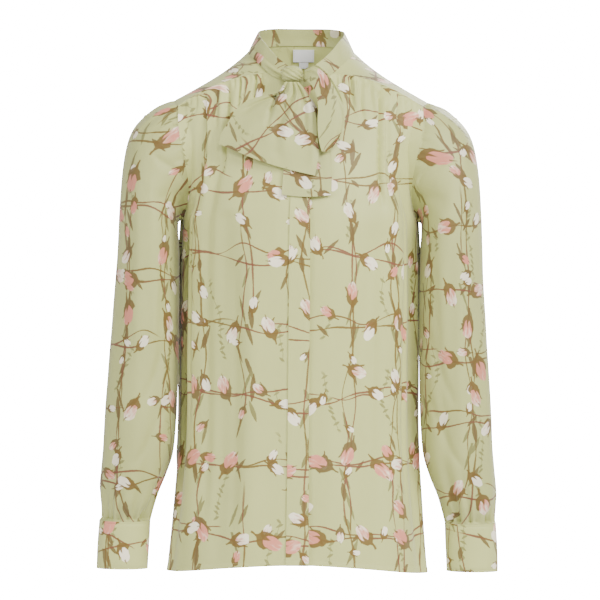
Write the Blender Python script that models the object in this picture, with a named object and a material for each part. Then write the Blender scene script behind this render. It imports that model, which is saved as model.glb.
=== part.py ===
"""A silk blouse in its worn form: hollow, with a tied neck, gathered sleeves and a hidden fly.

Metres, +Z up, the front faces -Y and the wearer's left is +X. The origin is the centre of the
neck opening, level with the side of the neck seam. Heights are given as distances down from it.
"""
import math
from collections import namedtuple

import bmesh
import bpy
from mathutils import Matrix, Vector

# Cloth thickness and the gaps that keep the pieces apart
SILK = 0.0012
BAND_WALL = 0.0016
CUFF_WALL = 0.0020
LABEL_WALL = 0.0010
SEAM_HALF_GAP = 0.00028
LAY_GAP = 0.0005
MITRE_LIMIT = 0.65
PLACE_GRAIN = 0.00001

# Heights, as distances down from the origin
FRONT_TOP = 0.074
BACK_TOP = 0.100
UNDERARM = 0.232
HEM = 0.721
HEM_RISE_FRONT = 0.017
HEM_DROP_BACK = 0.004
VENT_HEIGHT = 0.045
VENT_SPREAD = 0.007

# Columns and rows of the cloth, counted in whole segments
CENTRE_COLUMNS = (-0.055, 0.0, 0.055, 0.12, 0.185)
CORNER = 0.25
SHOULDER_SEGMENTS = 9
BACK_SEGMENTS = 15
FRONT_ARMHOLE_ROWS = 10
BACK_ARMHOLE_ROWS = 9
BODY_ROWS = 9
FRONT_FINE_ROWS = range(1, 6)
BACK_FINE_ROWS = range(1, 4)
PLAN_POWER = 2.3

# How far across a panel its folds, vent and hem shape reach, as shares of its half
HEM_RISE_REACH = 1.1
FOLD_EDGE = 0.86
VENT_COLUMN = 0.72
HEM_DROP_ROW = 1.7
HEM_DROP_COLUMN = 0.9
UNEVEN = 0.18
UNEVEN_RATE = 9.0

# The fly: the right front laps over the left one
LAP_STEP = 0.0026
LAP_FULL = 0.016
LAP_FADE = 0.034
LAP_DROP = 0.0012
FLY_TOP_ROW = 0.02

Neck = namedtuple("Neck", "seam top")
Yoke = namedtuple("Yoke", "neck_place outer bow")
Section = namedtuple("Section", "down half_width side_y centre_y roundness")
Fold = namedtuple("Fold", "column start end depth width")
Sleeve = namedtuple("Sleeve", "outer_x outer_down inner_x inner_down half_depth forward head cuff")
Edge = namedtuple("Edge", "left_x left_z right_x right_z lift")
Loop = namedtuple("Loop", "inner_x inner_z outer_x outer_z front_y gap")

# The neck, from the centre front round to the centre back: the seam and the top of the band
NECK = (
    Neck((0.000, -0.075, -0.050), (0.000, -0.073, -0.033)),
    Neck((0.024, -0.070, -0.041), (0.020, -0.067, -0.019)),
    Neck((0.044, -0.057, -0.030), (0.038, -0.054, -0.003)),
    Neck((0.062, -0.036, -0.012), (0.052, -0.034, 0.015)),
    Neck((0.074, -0.006, 0.001), (0.060, -0.006, 0.028)),
    Neck((0.069, 0.028, 0.009), (0.058, 0.024, 0.0360)),
    Neck((0.040, 0.053, 0.016), (0.038, 0.047, 0.0410)),
    Neck((0.000, 0.062, 0.018), (0.000, 0.058, 0.0420)),
)

# The yoke, from its front seam over the shoulder to the centre back: where each column starts on
# the neck, where it ends on the armhole or the back seam, and how far it bows out between them
YOKE = (
    Yoke(2.0, (0.170, -0.035, -0.074), (0.0, -0.0030, 0.0100)),
    Yoke(2.9, (0.1735, -0.014, -0.0665), (0.0, -0.0010, 0.0035)),
    Yoke(4.0, (0.1745, 0.007, -0.064), (0.0, 0.0000, -0.0035)),
    Yoke(4.6, (0.1715, 0.034, -0.076), (0.0, 0.0020, -0.0030)),
    Yoke(5.1, (0.1650, 0.060, -0.100), (0.0, 0.0040, 0.0000)),
    Yoke(5.6, (0.119, 0.078, -0.102), (0.0, 0.0050, 0.0015)),
    Yoke(6.1, (0.075, 0.086, -0.102), (0.0, 0.0050, 0.0010)),
    Yoke(6.6, (0.037, 0.090, -0.102), (0.0, 0.0060, 0.0000)),
    Yoke(7.0, (0.000, 0.092, -0.102), (0.0, 0.0065, 0.0000)),
)
YOKE_BACK_CORNER = 4
NECK_CORNER = 2

# Plan of the front and the back at each height
FRONT_SECTIONS = (
    Section(0.028, 0.171, -0.035, -0.066, 1.0),
    Section(0.050, 0.171, -0.035, -0.075, 1.0),
    Section(0.074, 0.170, -0.035, -0.085, 1.0),
    Section(0.092, 0.161, -0.047, -0.092, 1.0),
    Section(0.130, 0.150, -0.057, -0.105, 1.1),
    Section(0.180, 0.150, -0.046, -0.119, 1.35),
    Section(0.214, 0.157, -0.022, -0.126, 1.7),
    Section(0.232, 0.163, -0.002, -0.128, 2.0),
    Section(0.262, 0.1648, 0.006, -0.129, 2.0),
    Section(0.300, 0.1662, 0.010, -0.128, 2.0),
    Section(0.400, 0.1665, 0.010, -0.122, 2.0),
    Section(0.500, 0.1670, 0.010, -0.119, 2.0),
    Section(0.560, 0.1690, 0.008, -0.119, 2.0),
    Section(0.650, 0.1755, 0.004, -0.121, 2.0),
    Section(0.730, 0.1830, 0.002, -0.124, 2.0),
)
BACK_SECTIONS = (
    Section(0.100, 0.165, 0.060, 0.092, 1.0),
    Section(0.130, 0.158, 0.066, 0.097, 1.1),
    Section(0.180, 0.155, 0.052, 0.100, 1.35),
    Section(0.214, 0.159, 0.022, 0.099, 1.7),
    Section(0.232, 0.163, -0.002, 0.098, 2.0),
    Section(0.262, 0.1648, 0.006, 0.097, 2.0),
    Section(0.300, 0.1662, 0.010, 0.095, 2.0),
    Section(0.400, 0.1665, 0.010, 0.088, 2.0),
    Section(0.500, 0.1670, 0.010, 0.091, 2.0),
    Section(0.560, 0.1690, 0.008, 0.097, 2.0),
    Section(0.650, 0.1755, 0.004, 0.106, 2.0),
    Section(0.730, 0.1830, 0.002, 0.113, 2.0),
)

# Folds of each front and of the back; rows run 0 to 1 by the armhole and 1 to 2 below it
RIGHT_FOLDS = (
    Fold(0.375, 0.02, 0.40, -0.0022, 0.030),
    Fold(0.583, 0.02, 1.05, -0.0042, 0.036),
    Fold(0.708, 0.02, 0.42, -0.0022, 0.028),
    Fold(0.792, 0.02, 0.95, -0.0036, 0.036),
    Fold(0.875, 0.02, 0.38, -0.0018, 0.026),
    Fold(0.667, 0.55, 2.20, 0.0045, 0.080),
    Fold(0.833, 0.80, 2.20, -0.0060, 0.060),
    Fold(0.417, 0.90, 2.20, -0.0040, 0.070),
    Fold(0.250, 1.00, 2.20, 0.0035, 0.070),
)
LEFT_FOLDS = (
    Fold(0.417, 0.02, 0.36, -0.0018, 0.028),
    Fold(0.542, 0.02, 0.42, -0.0022, 0.028),
    Fold(0.667, 0.02, 1.05, -0.0042, 0.036),
    Fold(0.792, 0.02, 0.50, -0.0030, 0.032),
    Fold(0.875, 0.02, 0.42, -0.0022, 0.026),
    Fold(0.583, 0.70, 2.20, 0.0040, 0.080),
    Fold(0.792, 0.60, 2.20, -0.0062, 0.060),
    Fold(0.917, 0.90, 2.20, 0.0030, 0.050),
    Fold(0.375, 1.00, 2.20, -0.0038, 0.070),
)
BACK_FOLDS = (
    Fold(0.867, 0.02, 0.55, -0.0026, 0.026),
    Fold(0.767, 0.02, 0.90, -0.0038, 0.030),
    Fold(0.667, 0.02, 0.50, -0.0026, 0.026),
    Fold(0.567, 0.02, 1.10, -0.0040, 0.030),
    Fold(0.467, 0.02, 0.45, -0.0024, 0.026),
    Fold(0.833, 0.80, 2.20, -0.0060, 0.060),
    Fold(0.667, 0.90, 2.20, 0.0050, 0.070),
    Fold(0.467, 0.80, 2.20, -0.0048, 0.070),
    Fold(0.200, 0.90, 2.20, 0.0040, 0.080),
)
FOLD_RISE = 0.12
FOLD_FALL = 0.45

# The sleeve from the armhole to the cuff: its outer and inner lines, half its depth, how far it
# hangs forward, and the height of the gathers at the head and at the cuff
SLEEVE = (
    Sleeve(0.1745, 0.0640, 0.1630, 0.2320, 0.056, 0.000, 0.0000, 0.0000),
    Sleeve(0.1860, 0.0665, 0.1675, 0.2335, 0.059, 0.000, 0.0016, 0.0000),
    Sleeve(0.2020, 0.0745, 0.1700, 0.2360, 0.062, 0.000, 0.0026, 0.0000),
    Sleeve(0.2190, 0.0890, 0.1710, 0.2410, 0.065, 0.000, 0.0024, 0.0000),
    Sleeve(0.2330, 0.1070, 0.1705, 0.2500, 0.067, 0.001, 0.0016, 0.0000),
    Sleeve(0.2420, 0.1320, 0.1692, 0.2620, 0.069, 0.003, 0.0000, 0.0000),
    Sleeve(0.2480, 0.1720, 0.1680, 0.2820, 0.070, 0.006, 0.0000, 0.0000),
    Sleeve(0.2515, 0.2260, 0.1677, 0.3120, 0.069, 0.009, 0.0000, 0.0000),
    Sleeve(0.2545, 0.2930, 0.1675, 0.3560, 0.067, 0.011, 0.0000, 0.0000),
    Sleeve(0.2595, 0.3660, 0.1677, 0.4080, 0.064, 0.013, 0.0000, 0.0000),
    Sleeve(0.2655, 0.4400, 0.1684, 0.4640, 0.060, 0.015, 0.0000, 0.0000),
    Sleeve(0.2705, 0.5020, 0.1702, 0.5140, 0.056, 0.016, 0.0000, 0.0000),
    Sleeve(0.2730, 0.5500, 0.1740, 0.5560, 0.051, 0.017, 0.0000, 0.0010),
    Sleeve(0.2750, 0.5840, 0.1830, 0.5860, 0.046, 0.018, 0.0000, 0.0020),
    Sleeve(0.2770, 0.6110, 0.1930, 0.6110, 0.042, 0.018, 0.0000, 0.0028),
    Sleeve(0.2775, 0.6330, 0.2000, 0.6330, 0.037, 0.018, 0.0000, 0.0028),
    Sleeve(0.2765, 0.6515, 0.2050, 0.6515, 0.027, 0.018, 0.0000, 0.0006),
)
HEAD_BLEND = 6
SLEEVE_FINE = (1, 2, 3, 4, 12, 13, 14, 15, 16)
HEAD_WAVE = 3.3
CUFF_WAVE = 3.8
SLEEVE_FOLD = 0.0028
SLEEVE_FOLD_COUNT = 3.0
SLEEVE_FOLD_TWIST = 0.35
GATHER_REACH = 1.6
GATHER_FADE = 0.9

# The cuff, which wraps past itself at the back and closes with one button
CUFF_TOP = 0.6520
CUFF_BOTTOM = 0.7185
CUFF_TOP_X = 0.2408
CUFF_BOTTOM_X = 0.2439
CUFF_HALF_WIDTH = 0.0358
CUFF_HALF_DEPTH = 0.0265
CUFF_FORWARD = 0.018
CUFF_SEGMENTS = 30
CUFF_ROWS = 2
CUFF_START = math.radians(62.0)
CUFF_LAP = math.radians(32.0)
CUFF_STEP_ANGLE = math.radians(50.0)
BUTTON_RADIUS = 0.0055
BUTTON_THICK = 0.0024
BUTTON_SEGMENTS = 16
BUTTON_TAPER = 0.88
BUTTON_PLACE = 0.55

# The tie that lies over the right half of the neckband, wearer's side
TIE_START = 3.5
TIE_END = 0.90
TIE_SEGMENTS = 8
TIE_HEIGHT = 0.50
TIE_SHARES = (0.03, 0.5, 0.97)
TIE_START_HEIGHT = 0.75
TIE_SWELL_SEGMENTS = 3.0
TIE_PUFF = 0.0012

# The bow: its knot, its wide front tail, the tail behind it and the hanging loop
KNOT_CENTRE = (-0.0126, -0.0845, -0.0335)
KNOT_SIZE = (0.0150, 0.0120, 0.0115)
KNOT_AROUND = 16
KNOT_ACROSS = 8
KNOT_PLEAT = 0.07
KNOT_PLEATS = 5.0
KNOT_TWIST = 2.0
KNOT_ROUND = 0.8
FRONT_TAIL = (
    Edge(-0.0220, -0.0450, -0.0030, -0.0450, 0.0155),
    Edge(-0.0320, -0.0590, 0.0090, -0.0610, 0.0120),
    Edge(-0.0540, -0.0640, 0.0175, -0.0800, 0.0100),
    Edge(-0.0740, -0.0710, 0.0215, -0.1000, 0.0095),
    Edge(-0.0880, -0.0820, 0.0230, -0.1200, 0.0090),
    Edge(-0.0980, -0.0980, 0.0250, -0.1400, 0.0085),
    Edge(-0.1080, -0.1150, 0.0230, -0.1580, 0.0080),
    Edge(-0.1120, -0.1300, 0.0200, -0.1740, 0.0080),
)
BACK_TAIL = (
    Edge(-0.0170, -0.0460, -0.0050, -0.0460, 0.0095),
    Edge(-0.0180, -0.0800, 0.0200, -0.0760, 0.0046),
    Edge(-0.0200, -0.1200, 0.0340, -0.1160, 0.0042),
    Edge(-0.0225, -0.1620, 0.0425, -0.1500, 0.0044),
    Edge(-0.0250, -0.2000, 0.0425, -0.2000, 0.0048),
)
LOOP = (
    Loop(0.0042, -0.0390, 0.0048, -0.0270, -0.0885, 0.0055),
    Loop(0.0090, -0.0440, 0.0190, -0.0220, -0.0980, 0.0070),
    Loop(0.0160, -0.0520, 0.0340, -0.0330, -0.1070, 0.0080),
    Loop(0.0210, -0.0640, 0.0460, -0.0500, -0.1110, 0.0090),
    Loop(0.0235, -0.0800, 0.0565, -0.0720, -0.1150, 0.0095),
    Loop(0.0230, -0.0980, 0.0600, -0.0940, -0.1180, 0.0090),
    Loop(0.0235, -0.1160, 0.0555, -0.1150, -0.1200, 0.0080),
    Loop(0.0260, -0.1310, 0.0460, -0.1310, -0.1210, 0.0070),
    Loop(0.0290, -0.1410, 0.0370, -0.1410, -0.1215, 0.0060),
)
TAIL_ROWS = 11
TAIL_COLUMNS = 14
TAIL_BULGE = 0.0040
TAIL_BULGE_START = 0.15
TAIL_SAG = 0.0050
TAIL_VALLEY = ((-0.028, -0.043), (-0.046, -0.104))
TAIL_VALLEY_DEPTH = 0.0050
TAIL_VALLEY_WIDTH = 0.0070
TAIL_VALLEY_FADE = 0.7
BACK_TAIL_SAG = 0.0030
BACK_TAIL_ROWS = 8
BACK_TAIL_COLUMNS = 5
LOOP_ROWS = 12
LOOP_COLUMNS = 10
LOOP_ROUND = 0.8

# The blank label inside the back of the neck, and the tab under it
LABEL_LEFT = -0.0115
LABEL_RIGHT = 0.0182
LABEL_TOP = 0.0125
LABEL_BOTTOM = -0.0045
TAB_LEFT = -0.0030
TAB_RIGHT = 0.0100
TAB_BOTTOM = -0.0133
LABEL_GAP = 0.0006
LABEL_ROWS = 2
LABEL_COLUMNS = 6
TAB_COLUMNS = 3

# Colours as linear red, green and blue, with roughness
SILK_COLOUR = (0.56, 0.56, 0.37)
LABEL_COLOUR = (0.78, 0.77, 0.78)
BUTTON_COLOUR = (0.62, 0.60, 0.45)
SILK_ROUGHNESS = 0.45
BUTTON_ROUGHNESS = 0.25


def mix(first, last, share):
    """Value or point a given share of the way from the first to the last."""
    return first + (last - first) * share


def ease(share):
    """Smooth step from 0 to 1."""
    share = min(max(share, 0.0), 1.0)
    return share * share * (3.0 - 2.0 * share)


def mirrored(point):
    """The same point on the other side of the body."""
    return Vector((-point.x, point.y, point.z))


def spline(before, first, last, after, share):
    """Point on a smooth curve between two of its points, with a neighbour on each side."""
    square = share * share
    cube = square * share
    return 0.5 * (
        first * 2.0
        + (last - before) * share
        + (before * 2.0 - first * 5.0 + last * 4.0 - after) * square
        + (first * 3.0 - before - last * 3.0 + after) * cube
    )


def along(points, place):
    """Point on the smooth open curve through the points, at a place counted in points."""
    last = len(points) - 1
    place = min(max(place, 0.0), float(last))
    index = min(int(place), last - 1)
    start = points[index]
    end = points[index + 1]
    before = points[index - 1] if index > 0 else start * 2.0 - end
    after = points[index + 2] if index + 2 <= last else end * 2.0 - start
    return spline(before, start, end, after, place - index)


def around(points, place):
    """Point on the smooth closed curve through the points."""
    count = len(points)
    index = math.floor(place)
    near = [points[(index + step) % count] for step in (-1, 0, 1, 2)]
    return spline(*near, place - index)


def columns_of(rows, *names):
    """The named columns of a table, as vectors."""
    return [Vector([getattr(row, name) for name in names]) for row in rows]


def section_at(sections, down):
    """Half width, side depth, centre depth and roundness of the body at a height."""
    index = 0
    while index < len(sections) - 2 and sections[index + 1].down < down:
        index += 1
    span = sections[index + 1].down - sections[index].down
    share = min(max((down - sections[index].down) / span, 0.0), 1.0)
    values = columns_of(sections, "half_width", "side_y", "centre_y", "roundness")
    return along(values, index + share)


def closed_loop(points):
    """Both sides of a loop whose right half is given from the front to the back."""
    right = [Vector(point) for point in points]
    left = [mirrored(point) for point in reversed(right[1:-1])]
    return right + left


NECK_SEAM = closed_loop([row.seam for row in NECK])
NECK_TOP = closed_loop([row.top for row in NECK])
YOKE_NECK = [row.neck_place for row in YOKE]
YOKE_OUTER = [Vector(row.outer) for row in YOKE]
YOKE_BOW = [Vector(row.bow) for row in YOKE]


def yoke_point(station, share):
    """Point of the yoke, a share of the way from the neck to the armhole or the back seam."""
    neck = around(NECK_SEAM, along(YOKE_NECK, station))
    bow = along(YOKE_BOW, station) * (4.0 * share * (1.0 - share))
    return mix(neck, along(YOKE_OUTER, station), share) + bow


def plan_depth(section, centre_y, share):
    """How far forward or back the body is at a share of its half width."""
    flat = max(1.0 - abs(share) ** PLAN_POWER, 0.0)
    return section[1] + (centre_y - section[1]) * flat ** (1.0 / section[3])


def fold_height(folds, column, row):
    """Height of the folds, out of the cloth's smooth form."""
    height = 0.0
    for fold in folds:
        across = math.exp(-((column - fold.column) / fold.width) ** 2)
        rise = ease((row - fold.start) / FOLD_RISE)
        fall = 1.0 - ease((row - fold.end + FOLD_FALL) / FOLD_FALL)
        height += fold.depth * across * rise * fall
    return height


def side_down(row, top):
    """Height of the side edge: the armhole for rows 0 to 1, the side seam for rows 1 to 2."""
    if row <= 1.0:
        return mix(top, UNDERARM, row)
    return mix(UNDERARM, HEM, row - 1.0)


def body_point(sections, top, top_point, column, row, centre_share):
    """Smooth form of a body panel, from its top seam to its hem."""
    fade = 1.0 - ease(min(row, 1.0))
    edge_down = side_down(row, top)
    down = edge_down + (-top_point.z - top) * fade + centre_share * max(row - 1.0, 0.0)
    edge = section_at(FRONT_SECTIONS if row > 1.0 else sections, edge_down)
    centre_y = section_at(sections, down)[2]
    low_x = edge[0] * math.sin(column * math.pi / 2.0)
    x = mix(low_x, top_point.x, fade)
    first = section_at(sections, top)
    first_centre = section_at(sections, -top_point.z)[2]
    first_y = plan_depth(first, first_centre, top_point.x / first[0])
    y = plan_depth(edge, centre_y, x / edge[0]) + (top_point.y - first_y) * fade
    return Vector((x, y, -down))


def side_share(column, start):
    """Smooth step that begins at a column and is full at the side edge."""
    return ease((column - start) / (1.0 - start))


def vent_shift(row):
    """How far a panel's side edge draws back from the side seam at the vent."""
    vent_start = 2.0 - VENT_HEIGHT / (HEM - UNDERARM)
    return VENT_SPREAD * ease((row - vent_start) / (2.0 - vent_start))


def front_top(column):
    """The front's top edge: the neck seam, then the front seam of the yoke."""
    if column <= CORNER:
        return around(NECK_SEAM, NECK_CORNER * column / CORNER)
    return yoke_point(0.0, (column - CORNER) / (1.0 - CORNER))


def front_point(column, row, folds):
    """Point of a front, on the wearer's left."""
    lift = -HEM_RISE_FRONT * (1.0 - ease(abs(column) * HEM_RISE_REACH))
    point = body_point(FRONT_SECTIONS, FRONT_TOP, front_top(column), column, row, lift)
    angle = column * math.pi / 2.0
    outward = Vector((math.sin(angle) ** 3, -math.cos(angle), 0.0)).normalized()
    near_side = 1.0 - side_share(column, FOLD_EDGE)
    point += outward * fold_height(folds, column, row) * near_side
    point.y -= vent_shift(row) * side_share(column, VENT_COLUMN)
    return point


def back_point(column, row, station, side):
    """Point of the back, on the wearer's left, with its folds uneven from side to side."""
    top_point = yoke_point(station, 1.0)
    point = body_point(BACK_SECTIONS, BACK_TOP, top_point, column, row, 0.0)
    angle = column * math.pi / 2.0
    outward = Vector((math.sin(angle) ** 3, math.cos(angle), 0.0)).normalized()
    near_side = 1.0 - side_share(column, FOLD_EDGE)
    uneven = 1.0 + UNEVEN * side * math.sin(UNEVEN_RATE * column)
    point += outward * fold_height(BACK_FOLDS, column, row) * near_side * uneven
    drop = ease((row - HEM_DROP_ROW) / (2.0 - HEM_DROP_ROW))
    point.z -= HEM_DROP_BACK * drop * (1.0 - side_share(column, HEM_DROP_COLUMN))
    point.y += vent_shift(row) * side_share(column, VENT_COLUMN)
    return point


def halves(values):
    """The values with the middle of each pair put between them."""
    result = [values[0]]
    for first, last in zip(values, values[1:]):
        result.append((first + last) / 2.0)
        result.append(last)
    return result


def shoulder_columns():
    """Front columns from the yoke's corner to the armhole."""
    step = (1.0 - CORNER) / SHOULDER_SEGMENTS
    return [CORNER + step * index for index in range(SHOULDER_SEGMENTS + 1)]


def back_stations():
    """Yoke columns that the back hangs from, from the armhole to the centre back."""
    step = (len(YOKE) - 1 - YOKE_BACK_CORNER) / BACK_SEGMENTS
    return [YOKE_BACK_CORNER + step * index for index in range(BACK_SEGMENTS + 1)]


def yoke_stations():
    """All columns of the yoke, from its front seam to the centre back."""
    return [float(index) for index in range(YOKE_BACK_CORNER)] + back_stations()


def row_places(armhole_rows):
    """Row places of a body panel, from its top seam to its hem."""
    armhole = [index / armhole_rows for index in range(armhole_rows)]
    lower = [1.0 + index / BODY_ROWS for index in range(BODY_ROWS + 1)]
    return armhole + lower


Sheet = namedtuple("Sheet", "name rows closed flip wall seams level colour roughness")
SHEETS = []


def add_sheet(name, rows, wall=SILK, closed=False, flip=False, seams="", level="",
              colour=SILK_COLOUR, roughness=SILK_ROUGHNESS):
    """Keep the rows of points of one piece; its seams and level edges are named by words."""
    SHEETS.append(Sheet(name, rows, closed, flip, wall, seams, level, colour, roughness))


def front_rows(folds, under):
    """Rows of a front; the under front steps in behind the lap."""
    columns = list(CENTRE_COLUMNS) + shoulder_columns()
    rows = []
    for number, row in enumerate(row_places(FRONT_ARMHOLE_ROWS)):
        places = halves(columns) if number in FRONT_FINE_ROWS else columns
        points = []
        for column in places:
            point = front_point(column, max(row, FLY_TOP_ROW if column < 0.0 else 0.0), folds)
            lap = 1.0 - ease((point.x - LAP_FULL) / LAP_FADE)
            if under:
                point.y += LAP_STEP * lap
                point.z -= LAP_DROP * lap * (1.0 - ease(row))
            points.append(point)
        rows.append(points)
    return rows


def make_fronts():
    """The left front, and the right front that laps over it."""
    add_sheet("front_left", front_rows(LEFT_FOLDS, True), seams="first end", flip=True)
    right = [[mirrored(point) for point in row] for row in front_rows(RIGHT_FOLDS, False)]
    add_sheet("front_right", right, seams="first end", flip=False)


def make_fly():
    """The fly's covering strip, made from the right front's points and moved out."""
    columns = CENTRE_COLUMNS[:3]
    rows = []
    for number, row in enumerate(row_places(FRONT_ARMHOLE_ROWS)):
        places = halves(columns) if number in FRONT_FINE_ROWS else columns
        points = []
        for column in places:
            point = mirrored(front_point(column, max(row, FLY_TOP_ROW), RIGHT_FOLDS))
            points.append(point + Vector((0.0, -LAY_GAP - SILK, 0.0)))
        rows.append(points)
    add_sheet("fly_placket", rows, flip=False)


def make_back():
    """The back, gathered under the yoke."""
    stations = back_stations()
    count = len(stations) - 1
    rows = []
    for number, row in enumerate(row_places(BACK_ARMHOLE_ROWS)):
        fine = number in BACK_FINE_ROWS
        places = halves(stations) if fine else stations
        steps = 2 * count if fine else count
        left = [back_point(1.0 - index / steps, row, station, 1.0)
                for index, station in enumerate(places)]
        right = [mirrored(back_point(1.0 - index / steps, row, station, -1.0))
                 for index, station in enumerate(places)]
        rows.append(left + right[-2::-1])
    add_sheet("back", rows, seams="first start end", flip=True)


def make_yoke():
    """The yoke, over both shoulders and across the back."""
    stations = yoke_stations()
    rows = []
    for index in range(SHOULDER_SEGMENTS + 1):
        left = [yoke_point(station, index / SHOULDER_SEGMENTS) for station in stations]
        rows.append(left + [mirrored(point) for point in left[-2::-1]])
    add_sheet("yoke", rows, seams="first last start end", flip=True)


def armhole_ring():
    """Armhole of the left side, from the underarm up the front and down the back."""
    front = [front_point(1.0, index / FRONT_ARMHOLE_ROWS, ())
             for index in range(FRONT_ARMHOLE_ROWS, -1, -1)]
    top = [yoke_point(float(index), 1.0) for index in range(1, YOKE_BACK_CORNER)]
    back = [back_point(1.0, index / BACK_ARMHOLE_ROWS, YOKE_BACK_CORNER, 1.0)
            for index in range(BACK_ARMHOLE_ROWS)]
    return front + top + back


def sleeve_values(place):
    """The sleeve's measures at a place counted in rows of its table."""
    return along([Vector(row) for row in SLEEVE], place)


def sleeve_frame(place):
    """Centre of a ring of the sleeve, the half line to its outer side, and half its depth."""
    value = sleeve_values(place)
    outer = Vector((value[0], -value[5], -value[1]))
    inner = Vector((value[2], -value[5], -value[3]))
    return (outer + inner) / 2.0, (outer - inner) / 2.0, value[4]


def ring_angle(point):
    """Angle of an armhole point round the sleeve's first ring, the underarm being half a turn."""
    centre, half, depth = sleeve_frame(0.0)
    offset = point - centre
    return math.atan2(offset.y / depth, offset.dot(half) / half.length_squared)


def sleeve_ring(ring, angles, place, fine):
    """One ring of the sleeve, turning from the armhole's shape into an oval."""
    count = len(ring)
    centre, half, depth = sleeve_frame(place)
    first_centre, first_half, first_depth = sleeve_frame(0.0)
    value = sleeve_values(place)
    blend = 1.0 - ease(place / HEAD_BLEND)
    steps = 2 * count if fine else count
    points = []
    for index in range(steps):
        number = index * count / steps
        low = int(number)
        share = number - low
        seam = mix(ring[low], ring[(low + 1) % count], share)
        seam_angle = mix(angles[low], angles[low + 1], share)
        even = -math.pi + 2.0 * math.pi * number / count
        angle = mix(even, seam_angle, blend)
        oval = centre + half * math.cos(angle) + Vector((0.0, depth * math.sin(angle), 0.0))
        first = first_centre + first_half * math.cos(seam_angle)
        first += Vector((0.0, first_depth * math.sin(seam_angle), 0.0))
        outward = half.normalized() * math.cos(angle) + Vector((0.0, math.sin(angle), 0.0))
        away = 1.0 - ease((abs(angle) - GATHER_REACH) / GATHER_FADE)
        height = value[6] * math.cos(2.0 * math.pi * index / HEAD_WAVE) * away
        height += value[7] * math.cos(2.0 * math.pi * index / CUFF_WAVE)
        long_fold = math.sin(SLEEVE_FOLD_COUNT * angle + SLEEVE_FOLD_TWIST * place)
        long_fold *= math.sin(math.pi * place / (len(SLEEVE) - 1))
        height += SLEEVE_FOLD * long_fold * away
        points.append(oval + (seam - first) * blend + outward * height)
    return points


def make_sleeves():
    """Both sleeves, gathered at the head and above the cuff."""
    ring = armhole_ring()
    angles = [-math.pi] + [ring_angle(point) for point in ring[1:]] + [math.pi]
    rows = [sleeve_ring(ring, angles, float(place), place in SLEEVE_FINE)
            for place in range(len(SLEEVE))]
    add_sheet("sleeve_left", rows, closed=True, seams="first", level="last", flip=True)
    other = [[mirrored(point) for point in row] for row in rows]
    add_sheet("sleeve_right", other, closed=True, seams="first", level="last", flip=False)


def cuff_point(angle, share, lift):
    """Point of the left cuff; the angle runs on past a full turn where the cuff laps."""
    centre_x = mix(CUFF_TOP_X, CUFF_BOTTOM_X, share)
    turn = angle - CUFF_START
    step = ease((turn - 2.0 * math.pi + CUFF_STEP_ANGLE) / CUFF_STEP_ANGLE)
    grow = (CUFF_WALL + LAY_GAP) * step + lift
    x = centre_x + (CUFF_HALF_WIDTH + grow) * math.cos(angle)
    y = -CUFF_FORWARD + (CUFF_HALF_DEPTH + grow) * math.sin(angle)
    return Vector((x, y, -mix(CUFF_TOP, CUFF_BOTTOM, share)))


def make_cuffs():
    """Both cuffs, each a band that laps over itself at the back."""
    total = 2.0 * math.pi + CUFF_LAP
    rows = []
    for row in range(CUFF_ROWS + 1):
        share = row / CUFF_ROWS
        rows.append([cuff_point(CUFF_START + total * index / CUFF_SEGMENTS, share, 0.0)
                     for index in range(CUFF_SEGMENTS + 1)])
    add_sheet("cuff_left", rows, wall=CUFF_WALL, level="first", flip=True)
    other = [[mirrored(point) for point in row] for row in rows]
    add_sheet("cuff_right", other, wall=CUFF_WALL, level="first", flip=False)


def make_neckband():
    """The band that stands round the neck, its ends meeting behind the knot."""
    front = [NECK_CORNER * column / CORNER for column in CENTRE_COLUMNS[1:]]
    side = [along(YOKE_NECK, station) for station in yoke_stations()]
    places = front + side
    rows = []
    for share in (0.0, 0.5, 1.0):
        left = [mix(around(NECK_SEAM, place), around(NECK_TOP, place), share) for place in places]
        rows.append(left + [mirrored(point) for point in left[-2::-1]])
    add_sheet("neckband", rows, wall=BAND_WALL, seams="first start end", flip=False)


def make_tie_wrap():
    """The tie on the wearer's right, made from the neckband's points and moved out."""
    rows = []
    for share in TIE_SHARES:
        points = []
        for index in range(TIE_SEGMENTS + 1):
            place = mix(TIE_START, TIE_END, index / TIE_SEGMENTS)
            swell = mix(TIE_START_HEIGHT, 1.0, ease(index / TIE_SWELL_SEGMENTS))
            height = TIE_HEIGHT * swell * share
            seam = mirrored(around(NECK_SEAM, place))
            top = mirrored(around(NECK_TOP, place))
            point = mix(seam, top, height)
            outward = Vector((point.x, point.y, 0.0)).normalized()
            puff = TIE_PUFF * (1.0 - (2.0 * share - 1.0) ** 2)
            points.append(point + outward * (LAY_GAP + SILK + puff))
        rows.append(points)
    add_sheet("tie_wrap", rows, flip=False)


def chest_y(x, z):
    """Depth of the front's smooth form behind the bow."""
    section = section_at(FRONT_SECTIONS, -z)
    return plan_depth(section, section[2], x / section[0])


def off_line(x, z, start, end):
    """Distance from a line in the front view, and how far along it the nearest point lies."""
    line = Vector((end[0] - start[0], end[1] - start[1]))
    offset = Vector((x - start[0], z - start[1]))
    share = min(max(offset.dot(line) / line.length_squared, 0.0), 1.0)
    return (offset - line * share).length, share


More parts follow.
